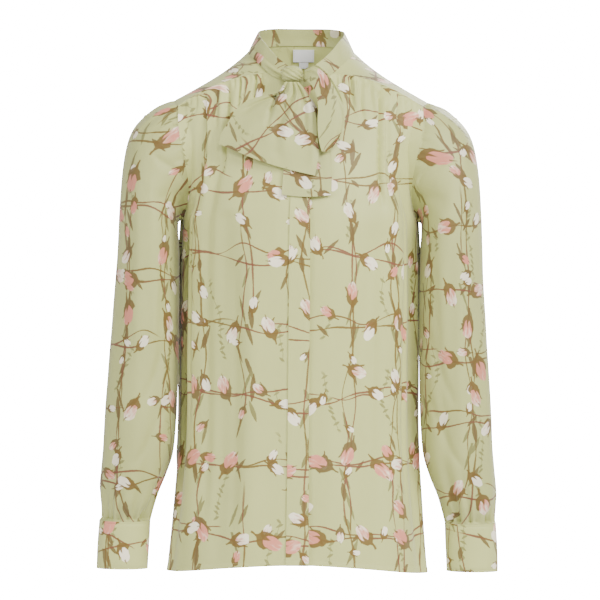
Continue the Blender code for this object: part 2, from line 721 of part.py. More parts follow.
def tail_rows(table, row_count, column_count, bulge, sag, valley):
    """Rows of a tail of the bow, which lies over the chest between its two edges."""
    values = columns_of(table, *Edge._fields)
    rows = []
    for row in range(row_count + 1):
        share = row / row_count
        value = along(values, share * (len(table) - 1))
        points = []
        for column in range(column_count + 1):
            across = column / column_count
            arch = math.sin(math.pi * across)
            x = mix(value[0], value[2], across)
            z = mix(value[1], value[3], across) - sag * arch * share
            swell = math.sin(math.pi * min(share + TAIL_BULGE_START, 1.0))
            lift = value[4] + bulge * arch * swell
            if valley:
                distance, place = off_line(x, z, *TAIL_VALLEY)
                depth = TAIL_VALLEY_DEPTH * (1.0 - TAIL_VALLEY_FADE * place)
                lift -= depth * math.exp(-(distance / TAIL_VALLEY_WIDTH) ** 2)
            points.append(Vector((x, chest_y(x, z) - lift, z)))
        rows.append(points)
    return rows


def loop_rows():
    """Rows of the loop: a hanging fold of the tie, open on its inner side."""
    values = columns_of(LOOP, *Loop._fields)
    rows = []
    for row in range(LOOP_ROWS + 1):
        value = along(values, row * (len(LOOP) - 1) / LOOP_ROWS)
        inner = Vector((value[0], value[4], value[1]))
        outer = Vector((value[2], value[4], value[3]))
        gap = value[5]
        points = []
        for column in range(LOOP_COLUMNS + 1):
            turn = math.pi * column / LOOP_COLUMNS - math.pi / 2.0
            across = math.cos(turn) ** LOOP_ROUND
            base = mix(inner, outer, across)
            base.y += gap / 2.0 + gap / 2.0 * math.sin(turn)
            points.append(base)
        rows.append(points)
    return rows


def make_bow_sheets():
    """The two tails and the loop of the bow."""
    front = tail_rows(FRONT_TAIL, TAIL_ROWS, TAIL_COLUMNS, TAIL_BULGE, TAIL_SAG, True)
    add_sheet("bow_front_tail", front, flip=True)
    back = tail_rows(BACK_TAIL, BACK_TAIL_ROWS, BACK_TAIL_COLUMNS, 0.0, BACK_TAIL_SAG, False)
    add_sheet("bow_back_tail", back, flip=True)
    add_sheet("bow_loop", loop_rows(), flip=True)


def yoke_level(station, z):
    """Point where a column of the yoke, straight from row to row, crosses a height."""
    points = [yoke_point(station, index / SHOULDER_SEGMENTS)
              for index in range(SHOULDER_SEGMENTS + 1)]
    index = 0
    while index < SHOULDER_SEGMENTS - 1 and points[index + 1].z > z:
        index += 1
    drop = points[index].z - points[index + 1].z
    return mix(points[index], points[index + 1], (points[index].z - z) / drop)


def nape_point(x, z, out):
    """Point inside the back of the neck, off the yoke's inner side between its columns."""
    line = [yoke_level(station, z) for station in reversed(back_stations())]
    index = 0
    while line[index + 1].x < abs(x):
        index += 1
    share = (abs(x) - line[index].x) / (line[index + 1].x - line[index].x)
    y = mix(line[index].y, line[index + 1].y, share)
    return Vector((x, y - SILK - out, z))


def nape_sheet(name, left, right, top, bottom, columns):
    """A small label on the yoke's inner side."""
    rows = []
    for row in range(LABEL_ROWS + 1):
        z = mix(top, bottom, row / LABEL_ROWS)
        rows.append([nape_point(mix(left, right, index / columns), z, LABEL_GAP + LABEL_WALL)
                     for index in range(columns + 1)])
    add_sheet(name, rows, wall=LABEL_WALL, colour=LABEL_COLOUR, flip=True)


def make_labels():
    """The blank label and the tab under it."""
    nape_sheet("neck_label", LABEL_LEFT, LABEL_RIGHT, LABEL_TOP, LABEL_BOTTOM,
               LABEL_COLUMNS)
    nape_sheet("size_tab", TAB_LEFT, TAB_RIGHT, LABEL_BOTTOM - LAY_GAP, TAB_BOTTOM,
               TAB_COLUMNS)


def flat_index(rows):
    """First vertex number of each row."""
    starts = [0]
    for row in rows:
        starts.append(starts[-1] + len(row))
    return starts


def strip_faces(first, last):
    """Faces between two rows of vertex numbers; one may have twice the segments of the other."""
    faces = []
    if len(first) == len(last):
        for index in range(len(first) - 1):
            faces.append((first[index], first[index + 1], last[index + 1], last[index]))
    elif len(first) < len(last):
        for index in range(len(first) - 1):
            middle = last[2 * index + 1]
            faces.append((first[index], middle, last[2 * index]))
            faces.append((first[index], first[index + 1], middle))
            faces.append((first[index + 1], last[2 * index + 2], middle))
    else:
        for index in range(len(last) - 1):
            middle = first[2 * index + 1]
            faces.append((first[2 * index], middle, last[index]))
            faces.append((middle, last[index + 1], last[index]))
            faces.append((middle, first[2 * index + 2], last[index + 1]))
    return faces


def sheet_mesh(sheet):
    """Points, faces and smooth normals of a sheet's outer side."""
    points = [point.copy() for row in sheet.rows for point in row]
    starts = flat_index(sheet.rows)
    numbers = []
    for row, start in zip(sheet.rows, starts):
        line = list(range(start, start + len(row)))
        numbers.append(line + line[:1] if sheet.closed else line)
    faces = []
    for first, last in zip(numbers, numbers[1:]):
        faces.extend(strip_faces(first, last))
    if sheet.flip:
        faces = [tuple(reversed(face)) for face in faces]
    normals = [Vector() for _ in points]
    inward = [Vector() for _ in points]
    for face in faces:
        corners = [points[number] for number in face]
        middle = sum(corners, Vector()) / len(corners)
        area = Vector()
        for index in range(1, len(corners) - 1):
            area += (corners[index] - corners[0]).cross(corners[index + 1] - corners[0])
        for number in face:
            normals[number] += area
            inward[number] += (middle - points[number]).normalized()
    for normal in normals:
        normal.normalize()
    return points, faces, normals, inward, numbers


def edge_numbers(sheet, numbers, words):
    """Vertex numbers on the named edges of a sheet."""
    found = set()
    if "first" in words:
        found.update(numbers[0])
    if "last" in words:
        found.update(numbers[-1])
    if "start" in words:
        found.update(line[0] for line in numbers)
    if "end" in words:
        found.update(line[-1] for line in numbers)
    return found


def place_key(point):
    """Name of a place, the same for pieces that share it."""
    return tuple(round(value / PLACE_GRAIN) for value in point)


def shared_normals(meshes):
    """Common outward direction of all pieces that meet at each seam point."""
    common = {}
    for points, _faces, normals, _inward, _numbers in meshes:
        for point, normal in zip(points, normals):
            key = place_key(point)
            common[key] = common.get(key, Vector()) + normal
    return common


def make_material(name, colour, roughness):
    """Principled material of one piece."""
    material = bpy.data.materials.new(name)
    material.use_nodes = True
    shader = material.node_tree.nodes["Principled BSDF"]
    shader.inputs["Base Color"].default_value = (*colour, 1.0)
    shader.inputs["Roughness"].default_value = roughness
    shader.inputs["Metallic"].default_value = 0.0
    return material


def link_object(name, mesh, colour, roughness):
    """Put a mesh into the scene as one piece with a material of its own."""
    mesh.shade_smooth()
    mesh.materials.append(make_material(name + "_material", colour, roughness))
    piece = bpy.data.objects.new(name, mesh)
    bpy.context.collection.objects.link(piece)
    return piece


def build_wall(sheet, mesh_data, common):
    """Give a sheet its thickness, mitred at its seams and drawn back to leave the seam gap."""
    points, faces, normals, inward, numbers = mesh_data
    seam_numbers = edge_numbers(sheet, numbers, sheet.seams)
    level_numbers = edge_numbers(sheet, numbers, sheet.level)
    outer = []
    inner = []
    for number, point in enumerate(points):
        normal = normals[number]
        depth = sheet.wall
        shift = Vector()
        if number in seam_numbers:
            joined = common[place_key(point)].normalized()
            depth = sheet.wall / max(normal.dot(joined), MITRE_LIMIT)
            normal = joined
            draw = inward[number] - normal * inward[number].dot(normal)
            shift = draw.normalized() * SEAM_HALF_GAP
        if number in level_numbers:
            normal = Vector((normal.x, normal.y, 0.0)).normalized()
        outer.append(point + shift)
        inner.append(point + shift - normal * depth)
    count = len(points)
    solid_faces = list(faces)
    solid_faces.extend(tuple(number + count for number in reversed(face)) for face in faces)
    edges = set()
    for face in faces:
        for index, number in enumerate(face):
            edges.add((number, face[(index + 1) % len(face)]))
    for start, end in sorted(edges):
        if (end, start) in edges:
            continue
        if place_key(points[start]) < place_key(points[end]):
            solid_faces.append((end, start, end + count))
            solid_faces.append((start, start + count, end + count))
        else:
            solid_faces.append((end, start, start + count))
            solid_faces.append((end, start + count, end + count))
    mesh = bpy.data.meshes.new(sheet.name)
    mesh.from_pydata(outer + inner, [], solid_faces)
    mesh.validate()
    link_object(sheet.name, mesh, sheet.colour, sheet.roughness)


def build_walls():
    """Build every sheet that has been kept."""
    meshes = [sheet_mesh(sheet) for sheet in SHEETS]
    common = shared_normals(meshes)
    for sheet, mesh_data in zip(SHEETS, meshes):
        build_wall(sheet, mesh_data, common)


def make_knot():
    """The knot: gathered cloth pulled tight, pleated from top to bottom."""
    mesh = bpy.data.meshes.new("bow_knot")
    shape = bmesh.new()
    bmesh.ops.create_uvsphere(shape, u_segments=KNOT_AROUND, v_segments=KNOT_ACROSS, radius=1.0)
    for vertex in shape.verts:
        angle = math.atan2(vertex.co.y, vertex.co.x)
        pleat = 1.0 + KNOT_PLEAT * math.cos(KNOT_PLEATS * angle + KNOT_TWIST * vertex.co.z)
        size = Vector(KNOT_SIZE)
        tall = math.copysign(abs(vertex.co.z) ** KNOT_ROUND, vertex.co.z)
        vertex.co = Vector((vertex.co.x * size.x * pleat, vertex.co.y * size.y, tall * size.z))
    bmesh.ops.translate(shape, verts=shape.verts, vec=Vector(KNOT_CENTRE))
    shape.to_mesh(mesh)
    shape.free()
    link_object("bow_knot", mesh, SILK_COLOUR, SILK_ROUGHNESS)


def make_cuff_button(side):
    """Small round button on the lap of a cuff; the side is 1 for the left and -1 for the right."""
    angle = CUFF_START + 2.0 * math.pi + CUFF_LAP * BUTTON_PLACE
    lift = LAY_GAP + BUTTON_THICK / 2.0
    centre = cuff_point(angle, 0.5, lift)
    slope = Vector((math.cos(angle) / CUFF_HALF_WIDTH, math.sin(angle) / CUFF_HALF_DEPTH, 0.0))
    if side < 0:
        centre = mirrored(centre)
        slope = mirrored(slope)
    name = "cuff_button_left" if side > 0 else "cuff_button_right"
    mesh = bpy.data.meshes.new(name)
    shape = bmesh.new()
    bmesh.ops.create_cone(shape, cap_ends=True, segments=BUTTON_SEGMENTS, radius1=BUTTON_RADIUS,
                          radius2=BUTTON_RADIUS * BUTTON_TAPER, depth=BUTTON_THICK)
    turn = Vector((0.0, 0.0, 1.0)).rotation_difference(slope).to_matrix().to_4x4()
    bmesh.ops.transform(shape, verts=shape.verts, matrix=Matrix.Translation(centre) @ turn)
    shape.to_mesh(mesh)
    shape.free()
    link_object(name, mesh, BUTTON_COLOUR, BUTTON_ROUGHNESS)


def clear_scene():
    """Remove what the scene holds."""
    for piece in list(bpy.data.objects):
        bpy.data.objects.remove(piece, do_unlink=True)


def build_blouse():
    """Build every piece of the blouse."""
    clear_scene()
    make_fronts()
    make_fly()
    make_back()
    make_yoke()
    make_sleeves()
    make_cuffs()
    make_neckband()
    make_tie_wrap()
    make_bow_sheets()
    make_labels()
    build_walls()
    make_knot()
    make_cuff_button(1)
    make_cuff_button(-1)


build_blouse()
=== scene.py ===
"""The looks of a silk blouse: thin printed cloth over its solids, with gathers, stitches and a bow.

Metres, +Z up, the front faces -Y and the wearer's left is +X. The origin is the centre of the
neck opening. The cloth is worked out from the same tables as the solids, on finer grids.
"""
import math
import random
from collections import namedtuple

import bmesh
import bpy
from bpy.props import FloatProperty, FloatVectorProperty, PointerProperty
from mathutils import Euler, Matrix, Vector, noise


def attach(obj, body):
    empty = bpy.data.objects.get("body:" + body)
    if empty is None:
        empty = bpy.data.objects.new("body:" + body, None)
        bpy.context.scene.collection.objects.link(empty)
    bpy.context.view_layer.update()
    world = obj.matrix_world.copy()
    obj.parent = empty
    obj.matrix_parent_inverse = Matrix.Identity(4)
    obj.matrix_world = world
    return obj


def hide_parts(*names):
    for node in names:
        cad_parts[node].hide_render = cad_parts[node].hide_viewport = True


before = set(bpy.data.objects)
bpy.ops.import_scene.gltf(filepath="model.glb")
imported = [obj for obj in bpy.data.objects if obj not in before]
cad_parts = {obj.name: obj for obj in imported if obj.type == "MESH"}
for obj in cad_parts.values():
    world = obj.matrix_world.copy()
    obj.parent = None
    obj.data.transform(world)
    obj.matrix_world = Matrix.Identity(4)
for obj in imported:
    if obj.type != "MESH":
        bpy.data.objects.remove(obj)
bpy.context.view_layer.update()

bl_info = {
    "name": "Silk Blouse",
    "version": (1, 0, 0),
    "blender": (4, 5, 0),
    "location": "View3D > Sidebar > Blouse",
    "description": "Dresses the solids of a tie-neck silk blouse in thin printed cloth",
    "category": "Object",
}


# Heights of the garment, as distances down from the origin, in metres
FRONT_TOP = 0.074
BACK_TOP = 0.100
UNDERARM = 0.232
HEM = 0.721
HEM_RISE_FRONT = 0.017
HEM_DROP_BACK = 0.004
VENT_HEIGHT = 0.045
VENT_SPREAD = 0.007
CORNER = 0.25

# The plan of the body, and how far across a panel its folds, vent and hem shape reach
PLAN_POWER = 2.3
HEM_RISE_REACH = 1.1
FOLD_EDGE = 0.86
VENT_COLUMN = 0.72
HEM_DROP_ROW = 1.7
HEM_DROP_COLUMN = 0.9
UNEVEN = 0.18
UNEVEN_RATE = 9.0

# The left front steps in behind the right one's lap
LAP_STEP = 0.0026
LAP_FULL = 0.016
LAP_FADE = 0.034
LAP_DROP = 0.0012
FLY_TOP_ROW = 0.02

Neck = namedtuple("Neck", "seam top")
Yoke = namedtuple("Yoke", "neck_place outer bow")
Section = namedtuple("Section", "down half_width side_y centre_y roundness")
Fold = namedtuple("Fold", "column start end depth width")
Sleeve = namedtuple("Sleeve", "outer_x outer_down inner_x inner_down half_depth forward head cuff")
Edge = namedtuple("Edge", "left_x left_z right_x right_z lift")
Loop = namedtuple("Loop", "inner_x inner_z outer_x outer_z front_y gap")


def rows_of(kind, table):
    """A table's rows as named values."""
    return tuple(kind(*row) for row in table)


# The neck, from the centre front round to the centre back: the seam and the top of the band
NECK = (
    Neck((0.000, -0.075, -0.050), (0.000, -0.073, -0.033)),
    Neck((0.024, -0.070, -0.041), (0.020, -0.067, -0.019)),
    Neck((0.044, -0.057, -0.030), (0.038, -0.054, -0.003)),
    Neck((0.062, -0.036, -0.012), (0.052, -0.034, 0.015)),
    Neck((0.074, -0.006, 0.001), (0.060, -0.006, 0.028)),
    Neck((0.069, 0.028, 0.009), (0.058, 0.024, 0.0360)),
    Neck((0.040, 0.053, 0.016), (0.038, 0.047, 0.0410)),
    Neck((0.000, 0.062, 0.018), (0.000, 0.058, 0.0420)),
)

# The yoke's columns, from its front seam over the shoulder to the centre back
YOKE = (
    Yoke(2.0, (0.170, -0.035, -0.074), (0.0, -0.0030, 0.0100)),
    Yoke(2.9, (0.1735, -0.014, -0.0665), (0.0, -0.0010, 0.0035)),
    Yoke(4.0, (0.1745, 0.007, -0.064), (0.0, 0.0000, -0.0035)),
    Yoke(4.6, (0.1715, 0.034, -0.076), (0.0, 0.0020, -0.0030)),
    Yoke(5.1, (0.1650, 0.060, -0.100), (0.0, 0.0040, 0.0000)),
    Yoke(5.6, (0.119, 0.078, -0.102), (0.0, 0.0050, 0.0015)),
    Yoke(6.1, (0.075, 0.086, -0.102), (0.0, 0.0050, 0.0010)),
    Yoke(6.6, (0.037, 0.090, -0.102), (0.0, 0.0060, 0.0000)),
    Yoke(7.0, (0.000, 0.092, -0.102), (0.0, 0.0065, 0.0000)),
)
YOKE_BACK_CORNER = 4
NECK_CORNER = 2

# Plan of the front and the back at each height
FRONT_SECTIONS = rows_of(Section, (
    (0.028, 0.171, -0.035, -0.066, 1.0),
    (0.05, 0.171, -0.035, -0.075, 1.0),
    (0.074, 0.17, -0.035, -0.085, 1.0),
    (0.092, 0.161, -0.047, -0.092, 1.0),
    (0.13, 0.15, -0.057, -0.105, 1.1),
    (0.18, 0.15, -0.046, -0.119, 1.35),
    (0.214, 0.157, -0.022, -0.126, 1.7),
    (0.232, 0.163, -0.002, -0.128, 2.0),
    (0.262, 0.1648, 0.006, -0.129, 2.0),
    (0.3, 0.1662, 0.01, -0.128, 2.0),
    (0.4, 0.1665, 0.01, -0.122, 2.0),
    (0.5, 0.167, 0.01, -0.119, 2.0),
    (0.56, 0.169, 0.008, -0.119, 2.0),
    (0.65, 0.1755, 0.004, -0.121, 2.0),
    (0.73, 0.183, 0.002, -0.124, 2.0),
))
BACK_SECTIONS = rows_of(Section, (
    (0.1, 0.165, 0.06, 0.092, 1.0),
    (0.13, 0.158, 0.066, 0.097, 1.1),
    (0.18, 0.155, 0.052, 0.1, 1.35),
    (0.214, 0.159, 0.022, 0.099, 1.7),
    (0.232, 0.163, -0.002, 0.098, 2.0),
    (0.262, 0.1648, 0.006, 0.097, 2.0),
    (0.3, 0.1662, 0.01, 0.095, 2.0),
    (0.4, 0.1665, 0.01, 0.088, 2.0),
    (0.5, 0.167, 0.01, 0.091, 2.0),
    (0.56, 0.169, 0.008, 0.097, 2.0),
    (0.65, 0.1755, 0.004, 0.106, 2.0),
    (0.73, 0.183, 0.002, 0.113, 2.0),
))

# Main folds; rows run 0 to 1 by the armhole and 1 to 2 below it
RIGHT_FOLDS = rows_of(Fold, (
    (0.375, 0.02, 0.4, -0.0022, 0.03),
    (0.583, 0.02, 1.05, -0.0042, 0.036),
    (0.708, 0.02, 0.42, -0.0022, 0.028),
    (0.792, 0.02, 0.95, -0.0036, 0.036),
    (0.875, 0.02, 0.38, -0.0018, 0.026),
    (0.667, 0.55, 2.2, 0.0045, 0.08),
    (0.833, 0.8, 2.2, -0.006, 0.06),
    (0.417, 0.9, 2.2, -0.004, 0.07),
    (0.25, 1.0, 2.2, 0.0035, 0.07),
))
LEFT_FOLDS = rows_of(Fold, (
    (0.417, 0.02, 0.36, -0.0018, 0.028),
    (0.542, 0.02, 0.42, -0.0022, 0.028),
    (0.667, 0.02, 1.05, -0.0042, 0.036),
    (0.792, 0.02, 0.5, -0.003, 0.032),
    (0.875, 0.02, 0.42, -0.0022, 0.026),
    (0.583, 0.7, 2.2, 0.004, 0.08),
    (0.792, 0.6, 2.2, -0.0062, 0.06),
    (0.917, 0.9, 2.2, 0.003, 0.05),
    (0.375, 1.0, 2.2, -0.0038, 0.07),
))
BACK_FOLDS = rows_of(Fold, (
    (0.867, 0.02, 0.55, -0.0026, 0.026),
    (0.767, 0.02, 0.9, -0.0038, 0.03),
    (0.667, 0.02, 0.5, -0.0026, 0.026),
    (0.567, 0.02, 1.1, -0.004, 0.03),
    (0.467, 0.02, 0.45, -0.0024, 0.026),
    (0.833, 0.8, 2.2, -0.006, 0.06),
    (0.667, 0.9, 2.2, 0.005, 0.07),
    (0.467, 0.8, 2.2, -0.0048, 0.07),
    (0.2, 0.9, 2.2, 0.004, 0.08),
))
FOLD_RISE = 0.12
FOLD_FALL = 0.45

# The sleeve from the armhole to the cuff
SLEEVE = rows_of(Sleeve, (
    (0.1745, 0.064, 0.163, 0.232, 0.056, 0.0, 0.0, 0.0),
    (0.186, 0.0665, 0.1675, 0.2335, 0.059, 0.0, 0.0016, 0.0),
    (0.202, 0.0745, 0.17, 0.236, 0.062, 0.0, 0.0026, 0.0),
    (0.219, 0.089, 0.171, 0.241, 0.065, 0.0, 0.0024, 0.0),
    (0.233, 0.107, 0.1705, 0.25, 0.067, 0.001, 0.0016, 0.0),
    (0.242, 0.132, 0.1692, 0.262, 0.069, 0.003, 0.0, 0.0),
    (0.248, 0.172, 0.168, 0.282, 0.07, 0.006, 0.0, 0.0),
    (0.2515, 0.226, 0.1677, 0.312, 0.069, 0.009, 0.0, 0.0),
    (0.2545, 0.293, 0.1675, 0.356, 0.067, 0.011, 0.0, 0.0),
    (0.2595, 0.366, 0.1677, 0.408, 0.064, 0.013, 0.0, 0.0),
    (0.2655, 0.44, 0.1684, 0.464, 0.06, 0.015, 0.0, 0.0),
    (0.2705, 0.502, 0.1702, 0.514, 0.056, 0.016, 0.0, 0.0),
    (0.273, 0.55, 0.174, 0.556, 0.051, 0.017, 0.0, 0.001),
    (0.275, 0.584, 0.183, 0.586, 0.046, 0.018, 0.0, 0.002),
    (0.277, 0.611, 0.193, 0.611, 0.042, 0.018, 0.0, 0.0028),
    (0.2775, 0.633, 0.2, 0.633, 0.037, 0.018, 0.0, 0.0028),
    (0.2765, 0.6515, 0.205, 0.6515, 0.027, 0.018, 0.0, 0.0006),
))
HEAD_BLEND = 6
SLEEVE_FOLD = 0.0028
SLEEVE_FOLD_COUNT = 3.0
SLEEVE_FOLD_TWIST = 0.35
GATHER_REACH = 1.6
GATHER_FADE = 0.9

# The cuff, which wraps past itself and closes with one button
CUFF_TOP = 0.6520
CUFF_BOTTOM = 0.7185
CUFF_TOP_X = 0.2408
CUFF_BOTTOM_X = 0.2439
CUFF_HALF_WIDTH = 0.0358
CUFF_HALF_DEPTH = 0.0265
CUFF_FORWARD = 0.018
CUFF_START = math.radians(62.0)
CUFF_LAP = math.radians(32.0)
CUFF_STEP_ANGLE = math.radians(50.0)
BUTTON_RADIUS = 0.0055
BUTTON_THICK = 0.0024
BUTTON_PLACE = 0.55

# The tie that lies over the neckband on the wearer's right
TIE_START = 3.5
TIE_END = 0.90
TIE_HEIGHT = 0.50
TIE_START_HEIGHT = 0.75
TIE_PUFF = 0.0012

# The bow: its knot, its wide front tail, the tail behind it and the hanging loop
KNOT_CENTRE = (-0.0126, -0.0845, -0.0335)
KNOT_SIZE = (0.0150, 0.0120, 0.0115)
FRONT_TAIL = rows_of(Edge, (
    (-0.022, -0.045, -0.003, -0.045, 0.0155),
    (-0.032, -0.059, 0.009, -0.061, 0.012),
    (-0.054, -0.064, 0.0175, -0.08, 0.01),
    (-0.074, -0.071, 0.0215, -0.1, 0.0095),
    (-0.088, -0.082, 0.023, -0.12, 0.009),
    (-0.098, -0.098, 0.025, -0.14, 0.0085),
    (-0.108, -0.115, 0.023, -0.158, 0.008),
    (-0.112, -0.13, 0.02, -0.174, 0.008),
))
BACK_TAIL = rows_of(Edge, (
    (-0.017, -0.046, -0.005, -0.046, 0.0095),
    (-0.018, -0.08, 0.02, -0.076, 0.0046),
    (-0.02, -0.12, 0.034, -0.116, 0.0042),
    (-0.0225, -0.162, 0.0425, -0.15, 0.0044),
    (-0.025, -0.2, 0.0425, -0.2, 0.0048),
))
LOOP = rows_of(Loop, (
    (0.0042, -0.039, 0.0048, -0.027, -0.0885, 0.0055),
    (0.009, -0.044, 0.019, -0.022, -0.098, 0.007),
    (0.016, -0.052, 0.034, -0.033, -0.107, 0.008),
    (0.021, -0.064, 0.046, -0.05, -0.111, 0.009),
    (0.0235, -0.08, 0.0565, -0.072, -0.115, 0.0095),
    (0.023, -0.098, 0.06, -0.094, -0.118, 0.009),
    (0.0235, -0.116, 0.0555, -0.115, -0.12, 0.008),
    (0.026, -0.131, 0.046, -0.131, -0.121, 0.007),
    (0.029, -0.141, 0.037, -0.141, -0.1215, 0.006),
))
TAIL_BULGE = 0.0040
TAIL_BULGE_START = 0.15
TAIL_SAG = 0.0050
TAIL_VALLEY = ((-0.028, -0.043), (-0.046, -0.104))
TAIL_VALLEY_DEPTH = 0.0085
TAIL_VALLEY_WIDTH = 0.0034
TAIL_VALLEY_FADE = 0.7
BACK_TAIL_SAG = 0.0030
LOOP_ROUND = 0.8

# The blank label inside the back of the neck, and the tab under it
LABEL_LEFT = -0.0115
LABEL_RIGHT = 0.0182
LABEL_TOP = 0.0125
LABEL_BOTTOM = -0.0045
TAB_LEFT = -0.0030
TAB_RIGHT = 0.0100
TAB_BOTTOM = -0.0133
LABEL_GAP = 0.0006

# Gaps that the solids keep, which the cloth keeps too
LAY_GAP = 0.0005
WALL = 0.0012
CUFF_WALL = 0.0020
LABEL_WALL = 0.0010

# Fineness of the cloth's grids
FRONT_COLUMNS = 96
BACK_COLUMNS = 84
ARMHOLE_ROWS = 46
LOWER_ROWS = 96
SLEEVE_ROWS_EACH = 11
NECK_STEPS = 90
YOKE_STEPS = 30
YOKE_SHOULDER_STEPS = 36
YOKE_BACK_STEPS = 64

# Fine gathers: place across the seam, depth, width and reach, in the piece's own measures
Gather = namedtuple("Gather", "place depth width reach")
Gathers = namedtuple("Gathers", "first last step depth width reach")
Crease = namedtuple("Crease", "start_across start_down end_across end_down depth width")

# Long soft creases of the sleeves: angle round the sleeve and place along it, from end to end
SLEEVE_CREASES = rows_of(Crease, (
    (-1.95, 0.9, -1.35, 3.2, -0.003, 0.11),
    (-2.3, 1.4, -1.75, 5.2, -0.0026, 0.14),
    (-1.2, 6.0, -1.6, 12.5, 0.002, 0.2),
    (-0.62, 5.0, -0.95, 13.5, -0.0018, 0.22),
    (-2.2, 7.0, -1.95, 12.0, -0.0024, 0.16),
    (-2.55, 8.5, -1.7, 10.5, -0.0022, 0.12),
    (-2.45, 10.2, -1.55, 12.6, -0.002, 0.11),
    (1.1, 5.0, 1.45, 13.0, -0.0022, 0.2),
    (1.9, 7.0, 2.3, 11.5, -0.0026, 0.15),
    (2.4, 9.0, 1.5, 11.4, -0.0022, 0.12),
    (0.3, 8.5, 0.1, 14.0, 0.0016, 0.22),
))

# Creases of the bow's tail and loop: across 0 to 1 and along 0 to 1, from end to end
FRONT_TAIL_CREASES = rows_of(Crease, (
    (0.2, 0.02, 0.1, 0.55, -0.0036, 0.04),
    (0.36, 0.02, 0.3, 0.4, 0.003, 0.045),
    (0.56, 0.02, 0.52, 0.6, -0.003, 0.035),
    (0.66, 0.02, 0.6, 0.75, 0.0034, 0.05),
    (0.8, 0.02, 0.84, 0.62, -0.0036, 0.04),
    (0.92, 0.05, 0.95, 0.9, 0.0022, 0.05),
    (0.45, 0.45, 0.62, 0.95, -0.002, 0.07),
    (0.25, 0.6, 0.2, 0.97, 0.0018, 0.08),
))
BACK_TAIL_CREASES = rows_of(Crease, (
    (0.3, 0.05, 0.22, 0.8, 0.001, 0.09),
    (0.72, 0.1, 0.8, 0.95, -0.001, 0.09),
))
LOOP_CREASES = rows_of(Crease, (
    (0.62, 0.02, 0.58, 0.5, -0.0026, 0.04),
    (0.78, 0.02, 0.8, 0.38, 0.0024, 0.04),
    (0.48, 0.1, 0.44, 0.72, 0.0026, 0.055),
    (0.3, 0.15, 0.34, 0.8, -0.002, 0.055),
    (0.7, 0.5, 0.6, 0.95, -0.002, 0.065),
))

# Narrow creases that run down the fronts from the yoke's seam: column and row, from end to end
RIGHT_CREASES = rows_of(Crease, (
    (0.613, 0.03, 0.54, 0.62, -0.0058, 0.016),
    (0.65, 0.03, 0.58, 0.55, 0.003, 0.018),
    (0.8, 0.04, 0.7, 0.75, -0.0052, 0.015),
    (0.765, 0.04, 0.668, 0.7, 0.0026, 0.017),
    (0.696, 0.03, 0.66, 0.34, -0.0036, 0.013),
    (0.5, 0.03, 0.485, 0.3, -0.003, 0.015),
    (0.355, 0.03, 0.37, 0.27, -0.0034, 0.013),
    (0.3, 0.03, 0.32, 0.22, -0.0026, 0.012),
    (0.745, 0.6, 0.69, 1.55, -0.0044, 0.024),
    (0.56, 0.8, 0.53, 1.8, -0.003, 0.034),
    (0.35, 1.2, 0.33, 1.9, -0.0026, 0.034),
))
LEFT_CREASES = rows_of(Crease, (
    (0.667, 0.03, 0.52, 0.85, -0.0058, 0.016),
    (0.705, 0.03, 0.56, 0.78, 0.003, 0.018),
    (0.81, 0.03, 0.78, 0.27, -0.0042, 0.013),
    (0.88, 0.03, 0.84, 0.32, -0.004, 0.013),
    (0.955, 0.05, 0.9, 0.45, -0.004, 0.012),
    (0.48, 0.03, 0.47, 0.3, -0.003, 0.014),
    (0.4, 0.03, 0.4, 0.24, -0.003, 0.013),
    (0.72, 0.9, 0.65, 1.75, -0.0042, 0.026),
    (0.48, 1.1, 0.45, 1.8, -0.003, 0.034),
    (0.3, 0.7, 0.33, 1.6, -0.0022, 0.03),
))

# Gathers along each seam, and the seeds that make them uneven
FRONT_GATHERS = Gathers(0.28, 0.97, 0.034, 0.0034, 0.009, 0.052)
BACK_GATHERS = Gathers(0.06, 0.93, 0.026, 0.0034, 0.008, 0.060)
HEAD_GATHERS = Gathers(-GATHER_REACH, GATHER_REACH, 0.105, 0.0032, 0.034, 0.050)
CUFF_GATHERS = Gathers(-3.0, 3.1, 0.36, 0.0090, 0.105, 0.085)
LEFT_FRONT_SEED = 11
RIGHT_FRONT_SEED = 17
BACK_SEED = 23
SLEEVE_SEEDS = ((1.0, 31), (-1.0, 47))

# How the gathers and creases of the cloth begin and fade
GATHER_START = 0.004
CREASE_TIP = 0.15
SEAM_EASE_ROW = 0.06
SEAM_COLUMN = 0.93
CORNER_EASE = 0.04
CENTRE_EASE = 0.15
SAG_DEPTH = 0.0022
SAG_SIZE = 0.075
SAG_TALL = 0.45
SIDE_BULGE = Gather(0.855, 0.0095, 0.075, (0.86, 1.66))
UNDERARM_BULGE = Gather(0.800, 0.0080, 0.075, (0.86, 1.12))
SIDE_BULGE_EASE = 0.12
FINE_SAG_DEPTH = 0.0006
FINE_SAG_SIZE = 0.028

# The hem: rows near its edge as heights above it, and how far its turned cloth stands out
HEM_FINE = (0.0095, 0.0078, 0.0065, 0.0055, 0.0020, 0.0)
HEM_LIFT = 0.0005
HEM_WIDTH = 0.0070
HEM_EASE = 0.0030
HEM_STITCH_ROW = -4

# The fly's covering strip, from its stitched edge to its free one
CENTRE_EDGE = -0.055
FLY_COLUMNS = 14
FLY_CROWN = 0.0003
FLY_SEAM_SHARE = 0.80
FLY_SEAM_EASE = 0.18
PUCKER = 0.00022
PUCKER_RATE = 130.0

# Rings of the sleeve follow the armhole's front, shoulder and back
RING_FRONT = 60
RING_TOP = 24
RING_BACK = 54
SEAM_ANGLE = 2.2
HEAD_ROW = 0.016
CUFF_ROW = 0.022
CUFF_TUCK = 0.0026
CUFF_TUCK_DROP = 0.0040
SLEEVE_END_EASE = 1.5
SLEEVE_SAG_REACH = 2.3
SLEEVE_SAG_FADE = 0.6

